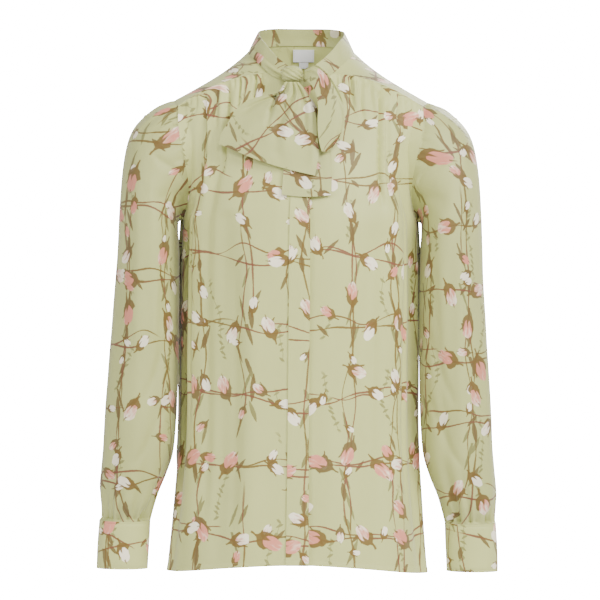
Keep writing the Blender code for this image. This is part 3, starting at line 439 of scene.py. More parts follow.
# The cuff's rows, stitched near both edges
CUFF_SHARES = (0.0, 0.012, 0.038, 0.045, 0.052, 0.12, 0.24, 0.36, 0.5, 0.64, 0.76, 0.88,
               0.948, 0.955, 0.962, 0.988, 1.0)
CUFF_GROOVES = (0.045, 0.955)
CUFF_GROOVE_HALF = 0.004
CUFF_COLUMNS = 120
CUFF_CROWN = 0.0004
CUFF_RIPPLE = 0.0004
GROOVE = 0.0003

# The neckband and the tie over it
NECK_ROWS = 12
NECK_WAVE = 0.0010
NECK_CROWN = 0.0006
TIE_ROWS = 16
TIE_STEPS = 110
TIE_SWELL = 2.7
TIE_EDGE = 0.03
TIE_PLEAT = 0.0021

# The bow
TAIL_SOFT = 0.0008
TAIL_SOFT_RATE = 40.0
TAIL_STEPS = 60
FRONT_TAIL_COLUMNS = 72
BACK_TAIL_COLUMNS = 36
HEM_LINE = 0.035
TAIL_HEM = 0.0004
LOBE_STEP = 0.0072
LOBE_WIDTH = 0.0017
LOBE_FADE = 0.7
LOOP_STEPS = 64
LOOP_COLUMNS = 56
KNOT_SHIFT = (0.31, 0.22)
KNOT_FLAT = (0.085, 0.030)
KNOT_ROUND = 0.75
KNOT_SLANT = (0.8, 1.25)
KNOT_PLEAT_BOW = 0.18
KNOT_PLEATS = (
    (-0.95, -0.10, 0.13), (-0.62, 0.05, 0.12), (-0.36, -0.12, 0.09), (-0.08, 0.06, 0.13),
    (0.20, -0.10, 0.09), (0.46, 0.05, 0.11), (0.72, -0.11, 0.10), (1.00, 0.03, 0.12),
)
LABEL_CURL = 0.0006
LABEL_GRID = (20, 10)
TAB_GRID = (10, 8)
LABEL_STITCH_COLUMNS = (1, 19)
NAPE_STEPS = 48
NAPE_HALVINGS = 24

# Thickness of the cloth pieces
SILK_THICK = 0.0005
FLY_THICK = 0.0009
TIE_THICK = 0.0010
BAND_THICK = 0.0016
CUFF_THICK = 0.0018
LABEL_THICK = 0.0006

# Stitches
STITCH_PITCH = 0.0026
STITCH_LENGTH = 0.0020
STITCH_THICK = 0.00034
STITCH_RISE = 0.00005

# Cuff buttons: a dished disc with four holes
BUTTON_DISH = 0.0006
BUTTON_HOLE = 0.00075
BUTTON_HOLE_PLACE = 0.0013
BUTTON_STEPS = 64

# Print on the flat cloth
ROW_PITCH = 0.095
ROW_SWAY = 0.024
POST_PITCH = 0.074
POST_SWAY = 0.021
SPRAY_PITCH = 0.083

# Colours as the shader takes them
GROUND = (0.510, 0.525, 0.190)
STEM_COLOUR = (0.190, 0.060, 0.028)
LEAF_COLOUR = (0.150, 0.095, 0.022)
CALYX_COLOUR = (0.165, 0.095, 0.013)
SPRIG_COLOUR = (0.220, 0.210, 0.060)
PINK_COLOUR = (0.700, 0.250, 0.170)
CREAM_COLOUR = (0.950, 0.860, 0.640)

# Names and small amounts that the pieces share
CLOTH_MAP = "cloth"
EDGE_ANGLE = math.radians(50.0)
LABEL_COLOUR = (0.92, 0.91, 0.93)
BUTTON_COLOUR = (0.60, 0.58, 0.34)
THREAD_COLOUR = (0.47, 0.48, 0.18)
LABEL_RIBS = 9000.0
TONE_SHARE = 0.10
WEAVE_STRENGTH = 0.35
WEAVE_DEPTH = 0.00018

# Stage: the photo's camera, its soft light and the floor
CAMERA_PLACE = (0.001, -4.0, -0.343)
CAMERA_LENS = 171.4
CAMERA_ROLL = math.radians(-0.45)
SENSOR = 36.0
FLOOR_LEVEL = -1.42
FLOOR_SIZE = 8.0
FLOOR_SEGMENTS = 96
KEY_PLACE = (2.6, -2.3, 1.9)
KEY_SIZE = 1.4
KEY_POWER = 192.0
SIDE_PLACE = (-2.7, -2.1, 0.9)
SIDE_SIZE = 1.2
SIDE_POWER = 60.0
FRONT_PLACE = (0.5, -3.6, 1.5)
FRONT_SIZE = 0.9
FRONT_POWER = 86.0
BACK_PLACE = (1.6, 3.0, 1.5)
BACK_SIZE = 1.6
BACK_POWER = 105.0
LIGHT_TARGET = (0.0, 0.0, -0.30)
FILL_STRENGTH = 0.55
BACKDROP_STRENGTH = 22.0

# Where each piece shows the print and how its inner side looks; the light factors after INSIDE_PRINT scale a
# piece's silk colour, as painted light above 1 and painted shade below 1
PRINT_SHIFTS = {
    "front": (0.000, 0.000),
    "fly": (0.009, 0.013),
    "back": (1.210, 0.370),
    "yoke": (2.430, 0.110),
    "sleeve_left": (3.170, 0.043),
    "sleeve_right": (4.310, 0.027),
    "cuff_left": (5.120, 0.285),
    "cuff_right": (5.795, 0.690),
    "neckband": (6.240, 0.145),
    "tie": (6.900, 0.520),
    "loop": (7.310, 0.330),
    "front_tail": (7.905, 0.160),
    "back_tail": (8.340, 0.460),
    "knot": (9.160, 0.310),
}
INSIDE_PRINT = 0.22
# Painted light: the inner sides' colour brightened, where they lie in shade
INSIDE_PAINTED_LIGHT = 1.26
BAND_INSIDE_PRINT = 0.9
# Painted shade: the neckband's inner side darkened a little
BAND_INSIDE_PAINTED_SHADE = 0.92
# Painted shade: the neckband, tie and bow darkened against the body's silk
TIE_PAINTED_SHADE = 0.84
# Painted shade: the sleeves' silk darkened
SLEEVE_PAINTED_SHADE = 0.83
# Painted shade: the yoke's silk darkened a little
YOKE_PAINTED_SHADE = 0.94
TAIL_TURN = math.radians(-38.0)
FLY_STITCH_COLUMN = 1
MERGE = 0.00001


def mix(first, last, share):
    """Value or point a given share of the way from the first to the last."""
    return first + (last - first) * share


def ease(share):
    """Smooth step from 0 to 1."""
    share = min(max(share, 0.0), 1.0)
    return share * share * (3.0 - 2.0 * share)


def mirrored(point):
    """The same point on the other side of the body."""
    return Vector((-point.x, point.y, point.z))


def both_sides(left):
    """A row that runs from the left side to the centre, carried on to the right side."""
    return left + [mirrored(point) for point in left[-2::-1]]


def spline(before, first, last, after, share):
    """Point on a smooth curve between two of its points, with a neighbour on each side."""
    square = share * share
    cube = square * share
    return 0.5 * (
        first * 2.0
        + (last - before) * share
        + (before * 2.0 - first * 5.0 + last * 4.0 - after) * square
        + (first * 3.0 - before - last * 3.0 + after) * cube
    )


def along(points, place):
    """Point on the smooth open curve through the points, at a place counted in points."""
    last = len(points) - 1
    place = min(max(place, 0.0), float(last))
    index = min(int(place), last - 1)
    start = points[index]
    end = points[index + 1]
    before = points[index - 1] if index > 0 else start * 2.0 - end
    after = points[index + 2] if index + 2 <= last else end * 2.0 - start
    return spline(before, start, end, after, place - index)


def around(points, place):
    """Point on the smooth closed curve through the points."""
    count = len(points)
    index = math.floor(place)
    near = [points[(index + step) % count] for step in (-1, 0, 1, 2)]
    return spline(*near, place - index)


def columns_of(rows, *names):
    """The named columns of a table, as vectors."""
    return [Vector([getattr(row, name) for name in names]) for row in rows]


def section_at(sections, down):
    """Half width, side depth, centre depth and roundness of the body at a height."""
    index = 0
    while index < len(sections) - 2 and sections[index + 1].down < down:
        index += 1
    span = sections[index + 1].down - sections[index].down
    share = min(max((down - sections[index].down) / span, 0.0), 1.0)
    values = columns_of(sections, "half_width", "side_y", "centre_y", "roundness")
    return along(values, index + share)


def closed_loop(points):
    """Both sides of a loop whose right half is given from the front to the back."""
    right = [Vector(point) for point in points]
    left = [mirrored(point) for point in reversed(right[1:-1])]
    return right + left


NECK_SEAM = closed_loop([row.seam for row in NECK])
NECK_TOP = closed_loop([row.top for row in NECK])
YOKE_NECK = [row.neck_place for row in YOKE]
YOKE_OUTER = [Vector(row.outer) for row in YOKE]
YOKE_BOW = [Vector(row.bow) for row in YOKE]


def yoke_point(station, share):
    """Point of the yoke, a share of the way from the neck to the armhole or the back seam."""
    neck = around(NECK_SEAM, along(YOKE_NECK, station))
    bow = along(YOKE_BOW, station) * (4.0 * share * (1.0 - share))
    return mix(neck, along(YOKE_OUTER, station), share) + bow


def plan_depth(section, centre_y, share):
    """How far forward or back the body is at a share of its half width."""
    flat = max(1.0 - abs(share) ** PLAN_POWER, 0.0)
    return section[1] + (centre_y - section[1]) * flat ** (1.0 / section[3])


def fold_height(folds, column, row):
    """Height of the folds, out of the cloth's smooth form."""
    height = 0.0
    for fold in folds:
        across = math.exp(-((column - fold.column) / fold.width) ** 2)
        rise = ease((row - fold.start) / FOLD_RISE)
        fall = 1.0 - ease((row - fold.end + FOLD_FALL) / FOLD_FALL)
        height += fold.depth * across * rise * fall
    return height


def side_down(row, top):
    """Height of the side edge: the armhole for rows 0 to 1, the side seam for rows 1 to 2."""
    if row <= 1.0:
        return mix(top, UNDERARM, row)
    return mix(UNDERARM, HEM, row - 1.0)


def body_point(sections, top, top_point, column, row, centre_share):
    """Smooth form of a body panel, from its top seam to its hem."""
    fade = 1.0 - ease(min(row, 1.0))
    edge_down = side_down(row, top)
    down = edge_down + (-top_point.z - top) * fade + centre_share * max(row - 1.0, 0.0)
    edge = section_at(FRONT_SECTIONS if row > 1.0 else sections, edge_down)
    centre_y = section_at(sections, down)[2]
    low_x = edge[0] * math.sin(column * math.pi / 2.0)
    x = mix(low_x, top_point.x, fade)
    first = section_at(sections, top)
    first_centre = section_at(sections, -top_point.z)[2]
    first_y = plan_depth(first, first_centre, top_point.x / first[0])
    y = plan_depth(edge, centre_y, x / edge[0]) + (top_point.y - first_y) * fade
    return Vector((x, y, -down))


def side_share(column, start):
    """Smooth step that begins at a column and is full at the side edge."""
    return ease((column - start) / (1.0 - start))


def vent_shift(row):
    """How far a panel's side edge draws back from the side seam at the vent."""
    vent_start = 2.0 - VENT_HEIGHT / (HEM - UNDERARM)
    return VENT_SPREAD * ease((row - vent_start) / (2.0 - vent_start))


def panel_outward(column, facing):
    """Direction out of a body panel; facing is -1 on the front and 1 on the back."""
    angle = column * math.pi / 2.0
    return Vector((math.sin(angle) ** 3, facing * math.cos(angle), 0.0)).normalized()


def front_top(column):
    """The front's top edge: the neck seam, then the front seam of the yoke."""
    if column <= CORNER:
        return around(NECK_SEAM, NECK_CORNER * column / CORNER)
    return yoke_point(0.0, (column - CORNER) / (1.0 - CORNER))


def front_point(column, row, folds):
    """Point of a front, on the wearer's left."""
    lift = -HEM_RISE_FRONT * (1.0 - ease(abs(column) * HEM_RISE_REACH))
    point = body_point(FRONT_SECTIONS, FRONT_TOP, front_top(column), column, row, lift)
    outward = panel_outward(column, -1.0)
    near_side = 1.0 - side_share(column, FOLD_EDGE)
    point += outward * fold_height(folds, column, row) * near_side
    point.y -= vent_shift(row) * side_share(column, VENT_COLUMN)
    return point


def back_point(column, row, station, side):
    """Point of the back, on the wearer's left, with its folds uneven from side to side."""
    top_point = yoke_point(station, 1.0)
    point = body_point(BACK_SECTIONS, BACK_TOP, top_point, column, row, 0.0)
    outward = panel_outward(column, 1.0)
    near_side = 1.0 - side_share(column, FOLD_EDGE)
    uneven = 1.0 + UNEVEN * side * math.sin(UNEVEN_RATE * column)
    point += outward * fold_height(BACK_FOLDS, column, row) * near_side * uneven
    drop = ease((row - HEM_DROP_ROW) / (2.0 - HEM_DROP_ROW))
    point.z -= HEM_DROP_BACK * drop * (1.0 - side_share(column, HEM_DROP_COLUMN))
    point.y += vent_shift(row) * side_share(column, VENT_COLUMN)
    return point


def sleeve_values(place):
    """The sleeve's measures at a place counted in rows of its table."""
    return along([Vector(row) for row in SLEEVE], place)


def sleeve_frame(place):
    """Centre of a ring of the sleeve, the half line to its outer side, and half its depth."""
    value = sleeve_values(place)
    outer = Vector((value[0], -value[5], -value[1]))
    inner = Vector((value[2], -value[5], -value[3]))
    return (outer + inner) / 2.0, (outer - inner) / 2.0, value[4]


def ring_angle(point):
    """Angle of an armhole point round the sleeve's first ring, the underarm being half a turn."""
    centre, half, depth = sleeve_frame(0.0)
    offset = point - centre
    return math.atan2(offset.y / depth, offset.dot(half) / half.length_squared)


def cuff_point(angle, share, lift):
    """Point of the left cuff; the angle runs on past a full turn where the cuff laps."""
    centre_x = mix(CUFF_TOP_X, CUFF_BOTTOM_X, share)
    turn = angle - CUFF_START
    step = ease((turn - 2.0 * math.pi + CUFF_STEP_ANGLE) / CUFF_STEP_ANGLE)
    grow = (CUFF_WALL + LAY_GAP) * step + lift
    x = centre_x + (CUFF_HALF_WIDTH + grow) * math.cos(angle)
    y = -CUFF_FORWARD + (CUFF_HALF_DEPTH + grow) * math.sin(angle)
    return Vector((x, y, -mix(CUFF_TOP, CUFF_BOTTOM, share)))


def chest_y(x, z):
    """Depth of the front's smooth form behind the bow."""
    section = section_at(FRONT_SECTIONS, -z)
    return plan_depth(section, section[2], x / section[0])


def off_line(x, z, start, end):
    """Distance from a line in the front view, and how far along it the nearest point lies."""
    line = Vector((end[0] - start[0], end[1] - start[1]))
    offset = Vector((x - start[0], z - start[1]))
    share = min(max(offset.dot(line) / line.length_squared, 0.0), 1.0)
    return (offset - line * share).length, share


def uneven_gathers(seed, seam):
    """Small gathers at uneven places along a seam, each with its own depth, width and reach."""
    draw = random.Random(seed)
    gathers = []
    place = seam.first
    while place < seam.last:
        depth = -seam.depth * draw.uniform(0.45, 1.25)
        width = seam.width * draw.uniform(0.7, 1.4)
        gathers.append(Gather(place, depth, width, seam.reach * draw.uniform(0.35, 1.5)))
        place += seam.step * draw.uniform(0.6, 1.5)
    return gathers


def gather_height(gathers, place, distance):
    """Height of the gathers at a place along their seam and a distance from it."""
    height = 0.0
    for gather in gathers:
        if distance >= gather.reach:
            continue
        spread = gather.width * (1.0 + distance / gather.reach)
        across = math.exp(-((place - gather.place) / spread) ** 2)
        height += gather.depth * across * (1.0 - ease(distance / gather.reach))
    return height * ease(distance / GATHER_START)


def crease_height(creases, across, down):
    """Height of long creases, each a soft trough or ridge between two places on the cloth."""
    height = 0.0
    for crease in creases:
        run = crease.end_down - crease.start_down
        share = (down - crease.start_down) / run
        if not -CREASE_TIP < share < 1.0 + CREASE_TIP:
            continue
        centre = mix(crease.start_across, crease.end_across, share)
        tips = ease((share + CREASE_TIP) / (2.0 * CREASE_TIP))
        tips *= ease((1.0 + CREASE_TIP - share) / (2.0 * CREASE_TIP))
        height += crease.depth * tips * math.exp(-((across - centre) / crease.width) ** 2)
    return height


def sag(point, size, seed):
    """Slow unevenness of hanging cloth, from -1 to 1."""
    place = Vector((point.x / size, point.y / size, SAG_TALL * point.z / size))
    return noise.noise(place + Vector((seed, 0, 0)))


def both_sags(point, seed, fine_seed):
    """Height of the slow and the fine unevenness together."""
    fine = FINE_SAG_DEPTH * sag(point, FINE_SAG_SIZE, fine_seed)
    return SAG_DEPTH * sag(point, SAG_SIZE, seed) + fine


def row_places():
    """Row places of a body panel, closer together at the hem."""
    rows = [index / ARMHOLE_ROWS for index in range(ARMHOLE_ROWS)]
    rows += [1.0 + index / LOWER_ROWS for index in range(LOWER_ROWS - 2)]
    rows += [2.0 - rise / (HEM - UNDERARM) for rise in HEM_FINE]
    return rows


def hem_lift(row):
    """The turned hem stands a little proud of the panel."""
    return HEM_LIFT * ease((row - 2.0 + HEM_WIDTH / (HEM - UNDERARM)) / HEM_EASE)


def front_surface(column, row, folds, fine, side):
    """Point of a front's cloth, on the wearer's left."""
    point = front_point(column, row, folds)
    outward = panel_outward(column, -1.0)
    inside = ease(row / SEAM_EASE_ROW) * (1.0 - side_share(column, FOLD_EDGE))
    gathers, creases = fine
    height = gather_height(gathers, column, row * (UNDERARM - FRONT_TOP))
    height += crease_height(creases, column, row)
    height *= ease((column - CORNER) / CORNER_EASE)
    inside *= ease(abs(column) / CENTRE_EASE)
    height += both_sags(point, 7.0 * side, 3.0 * side) * inside
    return point + outward * (height * (1.0 - side_share(column, SEAM_COLUMN)) + hem_lift(row))


def front_grid(folds, creases, side, under):
    """Rows of a front's cloth; the under front steps in behind the lap."""
    first = CENTRE_EDGE
    columns = [mix(first, 1.0, index / FRONT_COLUMNS) for index in range(FRONT_COLUMNS + 1)]
    seed = LEFT_FRONT_SEED if side > 0 else RIGHT_FRONT_SEED
    fine = (uneven_gathers(seed, FRONT_GATHERS), creases)
    rows = []
    for row in row_places():
        points = []
        for column in columns:
            level = max(row, FLY_TOP_ROW) if column < 0.0 else row
            point = front_surface(column, level, folds, fine, side)
            if under:
                lap = 1.0 - ease((point.x - LAP_FULL) / LAP_FADE)
                point.y += LAP_STEP * lap
                point.z -= LAP_DROP * lap * (1.0 - ease(row))
            points.append(point)
        rows.append(points)
    return rows


def fly_grid():
    """Rows of the fly's covering strip, a step out from the right front."""
    rows = []
    for row in row_places():
        points = []
        for index in range(FLY_COLUMNS + 1):
            column = mix(CENTRE_EDGE, -CENTRE_EDGE, index / FLY_COLUMNS)
            point = mirrored(front_surface(column, max(row, FLY_TOP_ROW), RIGHT_FOLDS, ((), ()), -1.0))
            edge = abs(2.0 * index / FLY_COLUMNS - 1.0)
            crown = FLY_CROWN * (1.0 - edge ** 4)
            pucker = PUCKER * math.sin(row * PUCKER_RATE) * ease((edge - 0.5) / 0.4)
            step = mix(1.0, FLY_SEAM_SHARE, ease((FLY_SEAM_EASE - index / FLY_COLUMNS) / FLY_SEAM_EASE))
            out = (LAY_GAP + WALL + crown) * step + pucker
            points.append(point - Vector((0.0, out, 0.0)))
        rows.append(points)
    return rows


def bulge_height(bulge, column, row):
    """Height of a soft bulge that rises and ends along its reach."""
    across = math.exp(-((column - bulge.place) / bulge.width) ** 2)
    start, end = bulge.reach
    span = ease((row - start) / SIDE_BULGE_EASE) * (1.0 - ease((row - end) / SIDE_BULGE_EASE))
    return bulge.depth * across * span


def side_bulge(column, row):
    """How far the back blouses out behind the sleeve, between the armhole and the hip."""
    return bulge_height(SIDE_BULGE, column, row) + bulge_height(UNDERARM_BULGE, column, row)


def back_half(side):
    """Rows of one half of the back's cloth, from the armhole to the centre."""
    gathers = uneven_gathers(BACK_SEED + side, BACK_GATHERS)
    rows = []
    for row in row_places():
        points = []
        for index in range(BACK_COLUMNS + 1):
            share = index / BACK_COLUMNS
            column = 1.0 - share
            station = mix(YOKE_BACK_CORNER, len(YOKE) - 1.0, share)
            point = back_point(column, row, station, float(side))
            outward = panel_outward(column, 1.0)
            height = gather_height(gathers, column, row * (UNDERARM - BACK_TOP))
            inside = ease(row / SEAM_EASE_ROW) * (1.0 - side_share(column, FOLD_EDGE))
            height += both_sags(point, 13.0, 5.0) * inside
            height += side_bulge(column, row)
            height *= 1.0 - side_share(column, SEAM_COLUMN)
            points.append(point + outward * (height + hem_lift(row)))
        rows.append(points)
    return rows


def back_grid():
    """Rows of the back's cloth, from the left armhole to the right one."""
    left = back_half(1)
    right = back_half(-1)
    rows = []
    for left_row, right_row in zip(left, right):
        middle = (left_row[-1] + mirrored(right_row[-1])) / 2.0
        rows.append(left_row[:-1] + [middle] + [mirrored(point) for point in right_row[-2::-1]])
    return rows


def yoke_grid():
    """Rows of the yoke's cloth, from the neck outward."""
    stations = [YOKE_BACK_CORNER * index / YOKE_SHOULDER_STEPS for index in range(YOKE_SHOULDER_STEPS)]
    stations += [mix(YOKE_BACK_CORNER, len(YOKE) - 1.0, index / YOKE_BACK_STEPS)
                 for index in range(YOKE_BACK_STEPS + 1)]
    rows = []
    for index in range(YOKE_STEPS + 1):
        left = [yoke_point(station, index / YOKE_STEPS) for station in stations]
        rows.append(both_sides(left))
    return rows


def armhole_ring():
    """Armhole of the left side, from the underarm up the front and down the back."""
    front = [front_point(1.0, 1.0 - index / RING_FRONT, ()) for index in range(RING_FRONT)]
    top = [yoke_point(YOKE_BACK_CORNER * index / RING_TOP, 1.0) for index in range(RING_TOP)]
    back = [back_point(1.0, index / RING_BACK, YOKE_BACK_CORNER, 1.0) for index in range(RING_BACK)]
    return front + top + back


def sleeve_height(angle, place, gathers):
    """Height of the sleeve's creases and gathers, out of its smooth form."""
    head, cuff = gathers
    outer = 1.0 - ease((abs(angle) - GATHER_REACH) / GATHER_FADE)
    height = gather_height(head, angle, place * HEAD_ROW) * outer
    height += gather_height(cuff, angle, (len(SLEEVE) - 1 - place) * CUFF_ROW)
    long_fold = math.sin(SLEEVE_FOLD_COUNT * angle + SLEEVE_FOLD_TWIST * place)
    long_fold *= math.sin(math.pi * place / (len(SLEEVE) - 1))
    ends = ease(place / SLEEVE_END_EASE) * ease((len(SLEEVE) - 1 - place) / SLEEVE_END_EASE)
    height += SLEEVE_FOLD * long_fold * outer
    height += crease_height(SLEEVE_CREASES, angle, place) * ends
    return height


def sleeve_row(ring, angles, place, gathers, seed):
    """One ring of the sleeve's cloth, turning from the armhole's shape into an oval."""
    count = len(ring)
    centre, half, depth = sleeve_frame(place)
    first_centre, first_half, first_depth = sleeve_frame(0.0)
    blend = 1.0 - ease(place / HEAD_BLEND)
    puff = ease(place) * ease((len(SLEEVE) - 1 - place) / SLEEVE_END_EASE)
    points = []
    for index in range(count):
        even = -math.pi + 2.0 * math.pi * index / count
        angle = mix(even, angles[index], blend)
        oval = centre + half * math.cos(angle) + Vector((0.0, depth * math.sin(angle), 0.0))
        first = first_centre + first_half * math.cos(angles[index])
        first += Vector((0.0, first_depth * math.sin(angles[index]), 0.0))
        outward = half.normalized() * math.cos(angle) + Vector((0.0, math.sin(angle), 0.0))
        point = oval + (ring[index] - first) * blend
        height = sleeve_height(angle, place, gathers)
        outer = 1.0 - ease((abs(angle) - SLEEVE_SAG_REACH) / SLEEVE_SAG_FADE)
        height += both_sags(point, seed, seed + 2.0) * puff * outer
        points.append(point + outward * height)
    return points


def sleeve_grid(seed):
    """Rows of the left sleeve's cloth, ending tucked into the cuff."""
    ring = armhole_ring()
    angles = [-math.pi] + [ring_angle(point) for point in ring[1:]]
    head = uneven_gathers(seed, HEAD_GATHERS)
    cuff = uneven_gathers(seed + 1, CUFF_GATHERS)
    last = len(SLEEVE) - 1
    steps = last * SLEEVE_ROWS_EACH
    rows = [sleeve_row(ring, angles, last * index / steps, (head, cuff), seed) for index in range(steps + 1)]
    end = rows[-1]
    centre = sum(end, Vector()) / len(end)
    tucked = []
    for point in end:
        inward = (centre - point).normalized()
        tucked.append(point + inward * CUFF_TUCK - Vector((0.0, 0.0, CUFF_TUCK_DROP)))
    rows.append(tucked)
    return rows


def cuff_grid():
    """Rows of the left cuff's cloth, lapping over itself."""
    total = 2.0 * math.pi + CUFF_LAP
    rows = []
    for share in CUFF_SHARES:
        nearest = min(abs(share - groove) for groove in CUFF_GROOVES)
        groove = GROOVE if nearest < CUFF_GROOVE_HALF else 0.0
        line = []
        for index in range(CUFF_COLUMNS + 1):
            angle = CUFF_START + total * index / CUFF_COLUMNS
            crown = CUFF_CROWN * math.sin(math.pi * share)
            ripple = CUFF_RIPPLE * math.sin(7.0 * angle + 2.0 * share) * math.sin(math.pi * share)
            line.append(cuff_point(angle, share, crown + ripple - groove))
        rows.append(line)
    return rows


def neckband_grid():
    """Rows of the neckband's cloth, from its seam up to its edge."""
    last = len(NECK) - 1
    rows = []
    for row in range(NECK_ROWS + 1):
        share = row / NECK_ROWS
        left = []
        for index in range(NECK_STEPS + 1):
            place = last * index / NECK_STEPS
            point = mix(around(NECK_SEAM, place), around(NECK_TOP, place), share)
            outward = Vector((point.x, point.y, 0.0)).normalized()
            wave = NECK_WAVE * noise.noise(Vector((place * 1.7, share * 1.5, 4.0)))
            left.append(point + outward * (NECK_CROWN + wave) * math.sin(math.pi * share))
        rows.append(both_sides(left))
    return rows


def tie_wrap_grid():
    """Rows of the tie on the wearer's right, over the neckband."""
    rows = []
    for row in range(TIE_ROWS + 1):
        share = mix(TIE_EDGE, 1.0 - TIE_EDGE, row / TIE_ROWS)
        points = []
        for index in range(TIE_STEPS + 1):
            length = index / TIE_STEPS
            place = mix(TIE_START, TIE_END, length)
            swell = mix(TIE_START_HEIGHT, 1.0, ease(length * TIE_SWELL))
            height = TIE_HEIGHT * swell * share
            point = mix(mirrored(around(NECK_SEAM, place)), mirrored(around(NECK_TOP, place)), height)
            outward = Vector((point.x, point.y, 0.0)).normalized()
            puff = TIE_PUFF * (1.0 - (2.0 * share - 1.0) ** 2)
            pleat = TIE_PLEAT * math.cos(3.0 * math.pi * share) * ease((length - 0.35) / 0.5)
            points.append(point + outward * (LAY_GAP + WALL + puff + pleat))
        rows.append(points)
    return rows


def lobe_step(x, z, place):
    """The tail's right lobe lies over its left one along the valley, fading towards the hem."""
    (start_x, start_z), (end_x, end_z) = TAIL_VALLEY
    slant = (x - start_x) * (start_z - end_z) + (z - start_z) * (end_x - start_x)
    right = slant / math.hypot(end_x - start_x, end_z - start_z)
    return LOBE_STEP * ease(right / LOBE_WIDTH) * ease((1.0 - place) / LOBE_FADE)


def tail_grid(table, columns, bulge, drop, valley, creases):
    """Rows of a tail of the bow, with its creases running out from the knot."""
    values = columns_of(table, *Edge._fields)
    rows = []
    for row in range(TAIL_STEPS + 1):
        share = row / TAIL_STEPS
        value = along(values, share * (len(table) - 1))
        points = []
        for column in range(columns + 1):
            across = column / columns
            arch = math.sin(math.pi * across)
            x = mix(value[0], value[2], across)
            z = mix(value[1], value[3], across) - drop * arch * share
            swell = math.sin(math.pi * min(share + TAIL_BULGE_START, 1.0))
            lift = value[4] + bulge * arch * swell
            if valley:
                distance, place = off_line(x, z, *TAIL_VALLEY)
                depth = TAIL_VALLEY_DEPTH * (1.0 - TAIL_VALLEY_FADE * place)
                lift -= depth * math.exp(-(distance / TAIL_VALLEY_WIDTH) ** 2)
                lift += lobe_step(x, z, place)
            lift += crease_height(creases, across, share)
            soft = Vector((x * TAIL_SOFT_RATE, z * TAIL_SOFT_RATE, 1.0))
            lift += TAIL_SOFT * noise.noise(soft) * ease(share * 3.0)
            hem = ease((HEM_LINE - min(across, 1.0 - across, 1.0 - share)) / HEM_LINE)
            lift += TAIL_HEM * hem * ease(share * 4.0)
            points.append(Vector((x, chest_y(x, z) - lift, z)))
        rows.append(points)
    return rows


def loop_grid():
    """Rows of the loop: a hanging fold of the tie, open on its inner side."""
    values = columns_of(LOOP, *Loop._fields)
    rows = []
    for row in range(LOOP_STEPS + 1):
        share = row / LOOP_STEPS
        value = along(values, share * (len(LOOP) - 1))
        inner = Vector((value[0], value[4], value[1]))
        outer = Vector((value[2], value[4], value[3]))
        gap = value[5]
        points = []
        for column in range(LOOP_COLUMNS + 1):
            across = column / LOOP_COLUMNS
            turn = math.pi * across - math.pi / 2.0
            point = mix(inner, outer, max(math.cos(turn), 0.0) ** LOOP_ROUND)
            point.y += gap / 2.0 + gap / 2.0 * math.sin(turn)
            front = 1.0 - ease((across - 0.42) / 0.12)
            point.y -= crease_height(LOOP_CREASES, 1.0 - across, share) * front
            points.append(point)
        rows.append(points)
    return rows


def knot_mesh():
    """The knot: cloth pulled tight, its pleats running over it from the left band to the tails."""
    shape = bmesh.new()
    bmesh.ops.create_uvsphere(shape, u_segments=96, v_segments=64, radius=1.0, calc_uvs=True)
    uv_layer = shape.loops.layers.uv.verify()
    for face in shape.faces:
        for loop in face.loops:
            place = loop[uv_layer].uv
            loop[uv_layer].uv = (place.x * KNOT_FLAT[0] + KNOT_SHIFT[0],
                                 place.y * KNOT_FLAT[1] + KNOT_SHIFT[1])
    for vertex in shape.verts:
        low = vertex.co.copy()
        slant = low.x * KNOT_SLANT[0] + low.z * KNOT_SLANT[1]
        pleat = 0.0
        for place, depth, width in KNOT_PLEATS:
            pleat += depth * math.exp(-((slant - place - KNOT_PLEAT_BOW * low.z * low.z) / width) ** 2)
        pleat *= math.sqrt(max(1.0 - abs(low.z) ** 4, 0.0))
        tall = math.copysign(abs(low.z) ** KNOT_ROUND, low.z)
        grow = 1.0 + pleat
        vertex.co = Vector((low.x * KNOT_SIZE[0] * grow, low.y * KNOT_SIZE[1] * grow, tall * KNOT_SIZE[2]))
    bmesh.ops.translate(shape, verts=shape.verts, vec=Vector(KNOT_CENTRE))
    return shape_mesh("bow_knot_silk", shape)


def nape_line(z, out):
    """Points across the inside of the yoke at a height, off its inner side."""
    line = []
    for index in range(NAPE_STEPS + 1):
        station = mix(len(YOKE) - 1.0, YOKE_BACK_CORNER, index / NAPE_STEPS)
        low, high = 0.0, 1.0
        for _ in range(NAPE_HALVINGS):
            share = (low + high) / 2.0
            if yoke_point(station, share).z > z:
                low = share
            else:
                high = share
        point = yoke_point(station, low)
        line.append(Vector((point.x, point.y - out, z)))
    return line


def nape_grid(left, right, top, bottom, columns, rows_count):
    """Rows of a small label on the yoke's inner side."""
    rows = []
    for row in range(rows_count + 1):
        z = mix(top, bottom, row / rows_count)
        line = nape_line(z, WALL + LABEL_GAP + LABEL_WALL)
        points = []
        for column in range(columns + 1):
            x = mix(left, right, column / columns)
            index = 0
            while line[index + 1].x < abs(x):
                index += 1
            share = (abs(x) - line[index].x) / (line[index + 1].x - line[index].x)
            lift = LABEL_CURL * math.sin(math.pi * column / columns) * (row / rows_count)
            points.append(Vector((x, mix(line[index].y, line[index + 1].y, share) - lift, z)))
        rows.append(points)
    return rows


def distances(points):
    """Distance of each point from the first, along their line."""
    total = 0.0
    places = [0.0]
    for first, last in zip(points, points[1:]):
        total += (last - first).length
        places.append(total)
    return places


def even_places(rows, home_row=0):
    """Flat place of each point, by its distance along its row and down its column."""
    across = [distances(line) for line in rows]
    down = [distances(column) for column in zip(*rows)]
    middle = len(rows[0]) // 2
    return [[(place - line[middle], down[index][home_row] - down[index][number])
             for index, place in enumerate(line)] for number, line in enumerate(across)]


def upright_places(rows, home, turn=1.0, closed=False):
    """Flat place of each point of upright cloth: level distance from a home column, and height."""
    places = []
    for row in rows:
        line = row + row[:1] if closed else row
        level = distances([Vector((point.x, point.y, 0.0)) for point in line])
        places.append([(turn * (place - level[home]), point.z) for place, point in zip(level, line)])
    return places


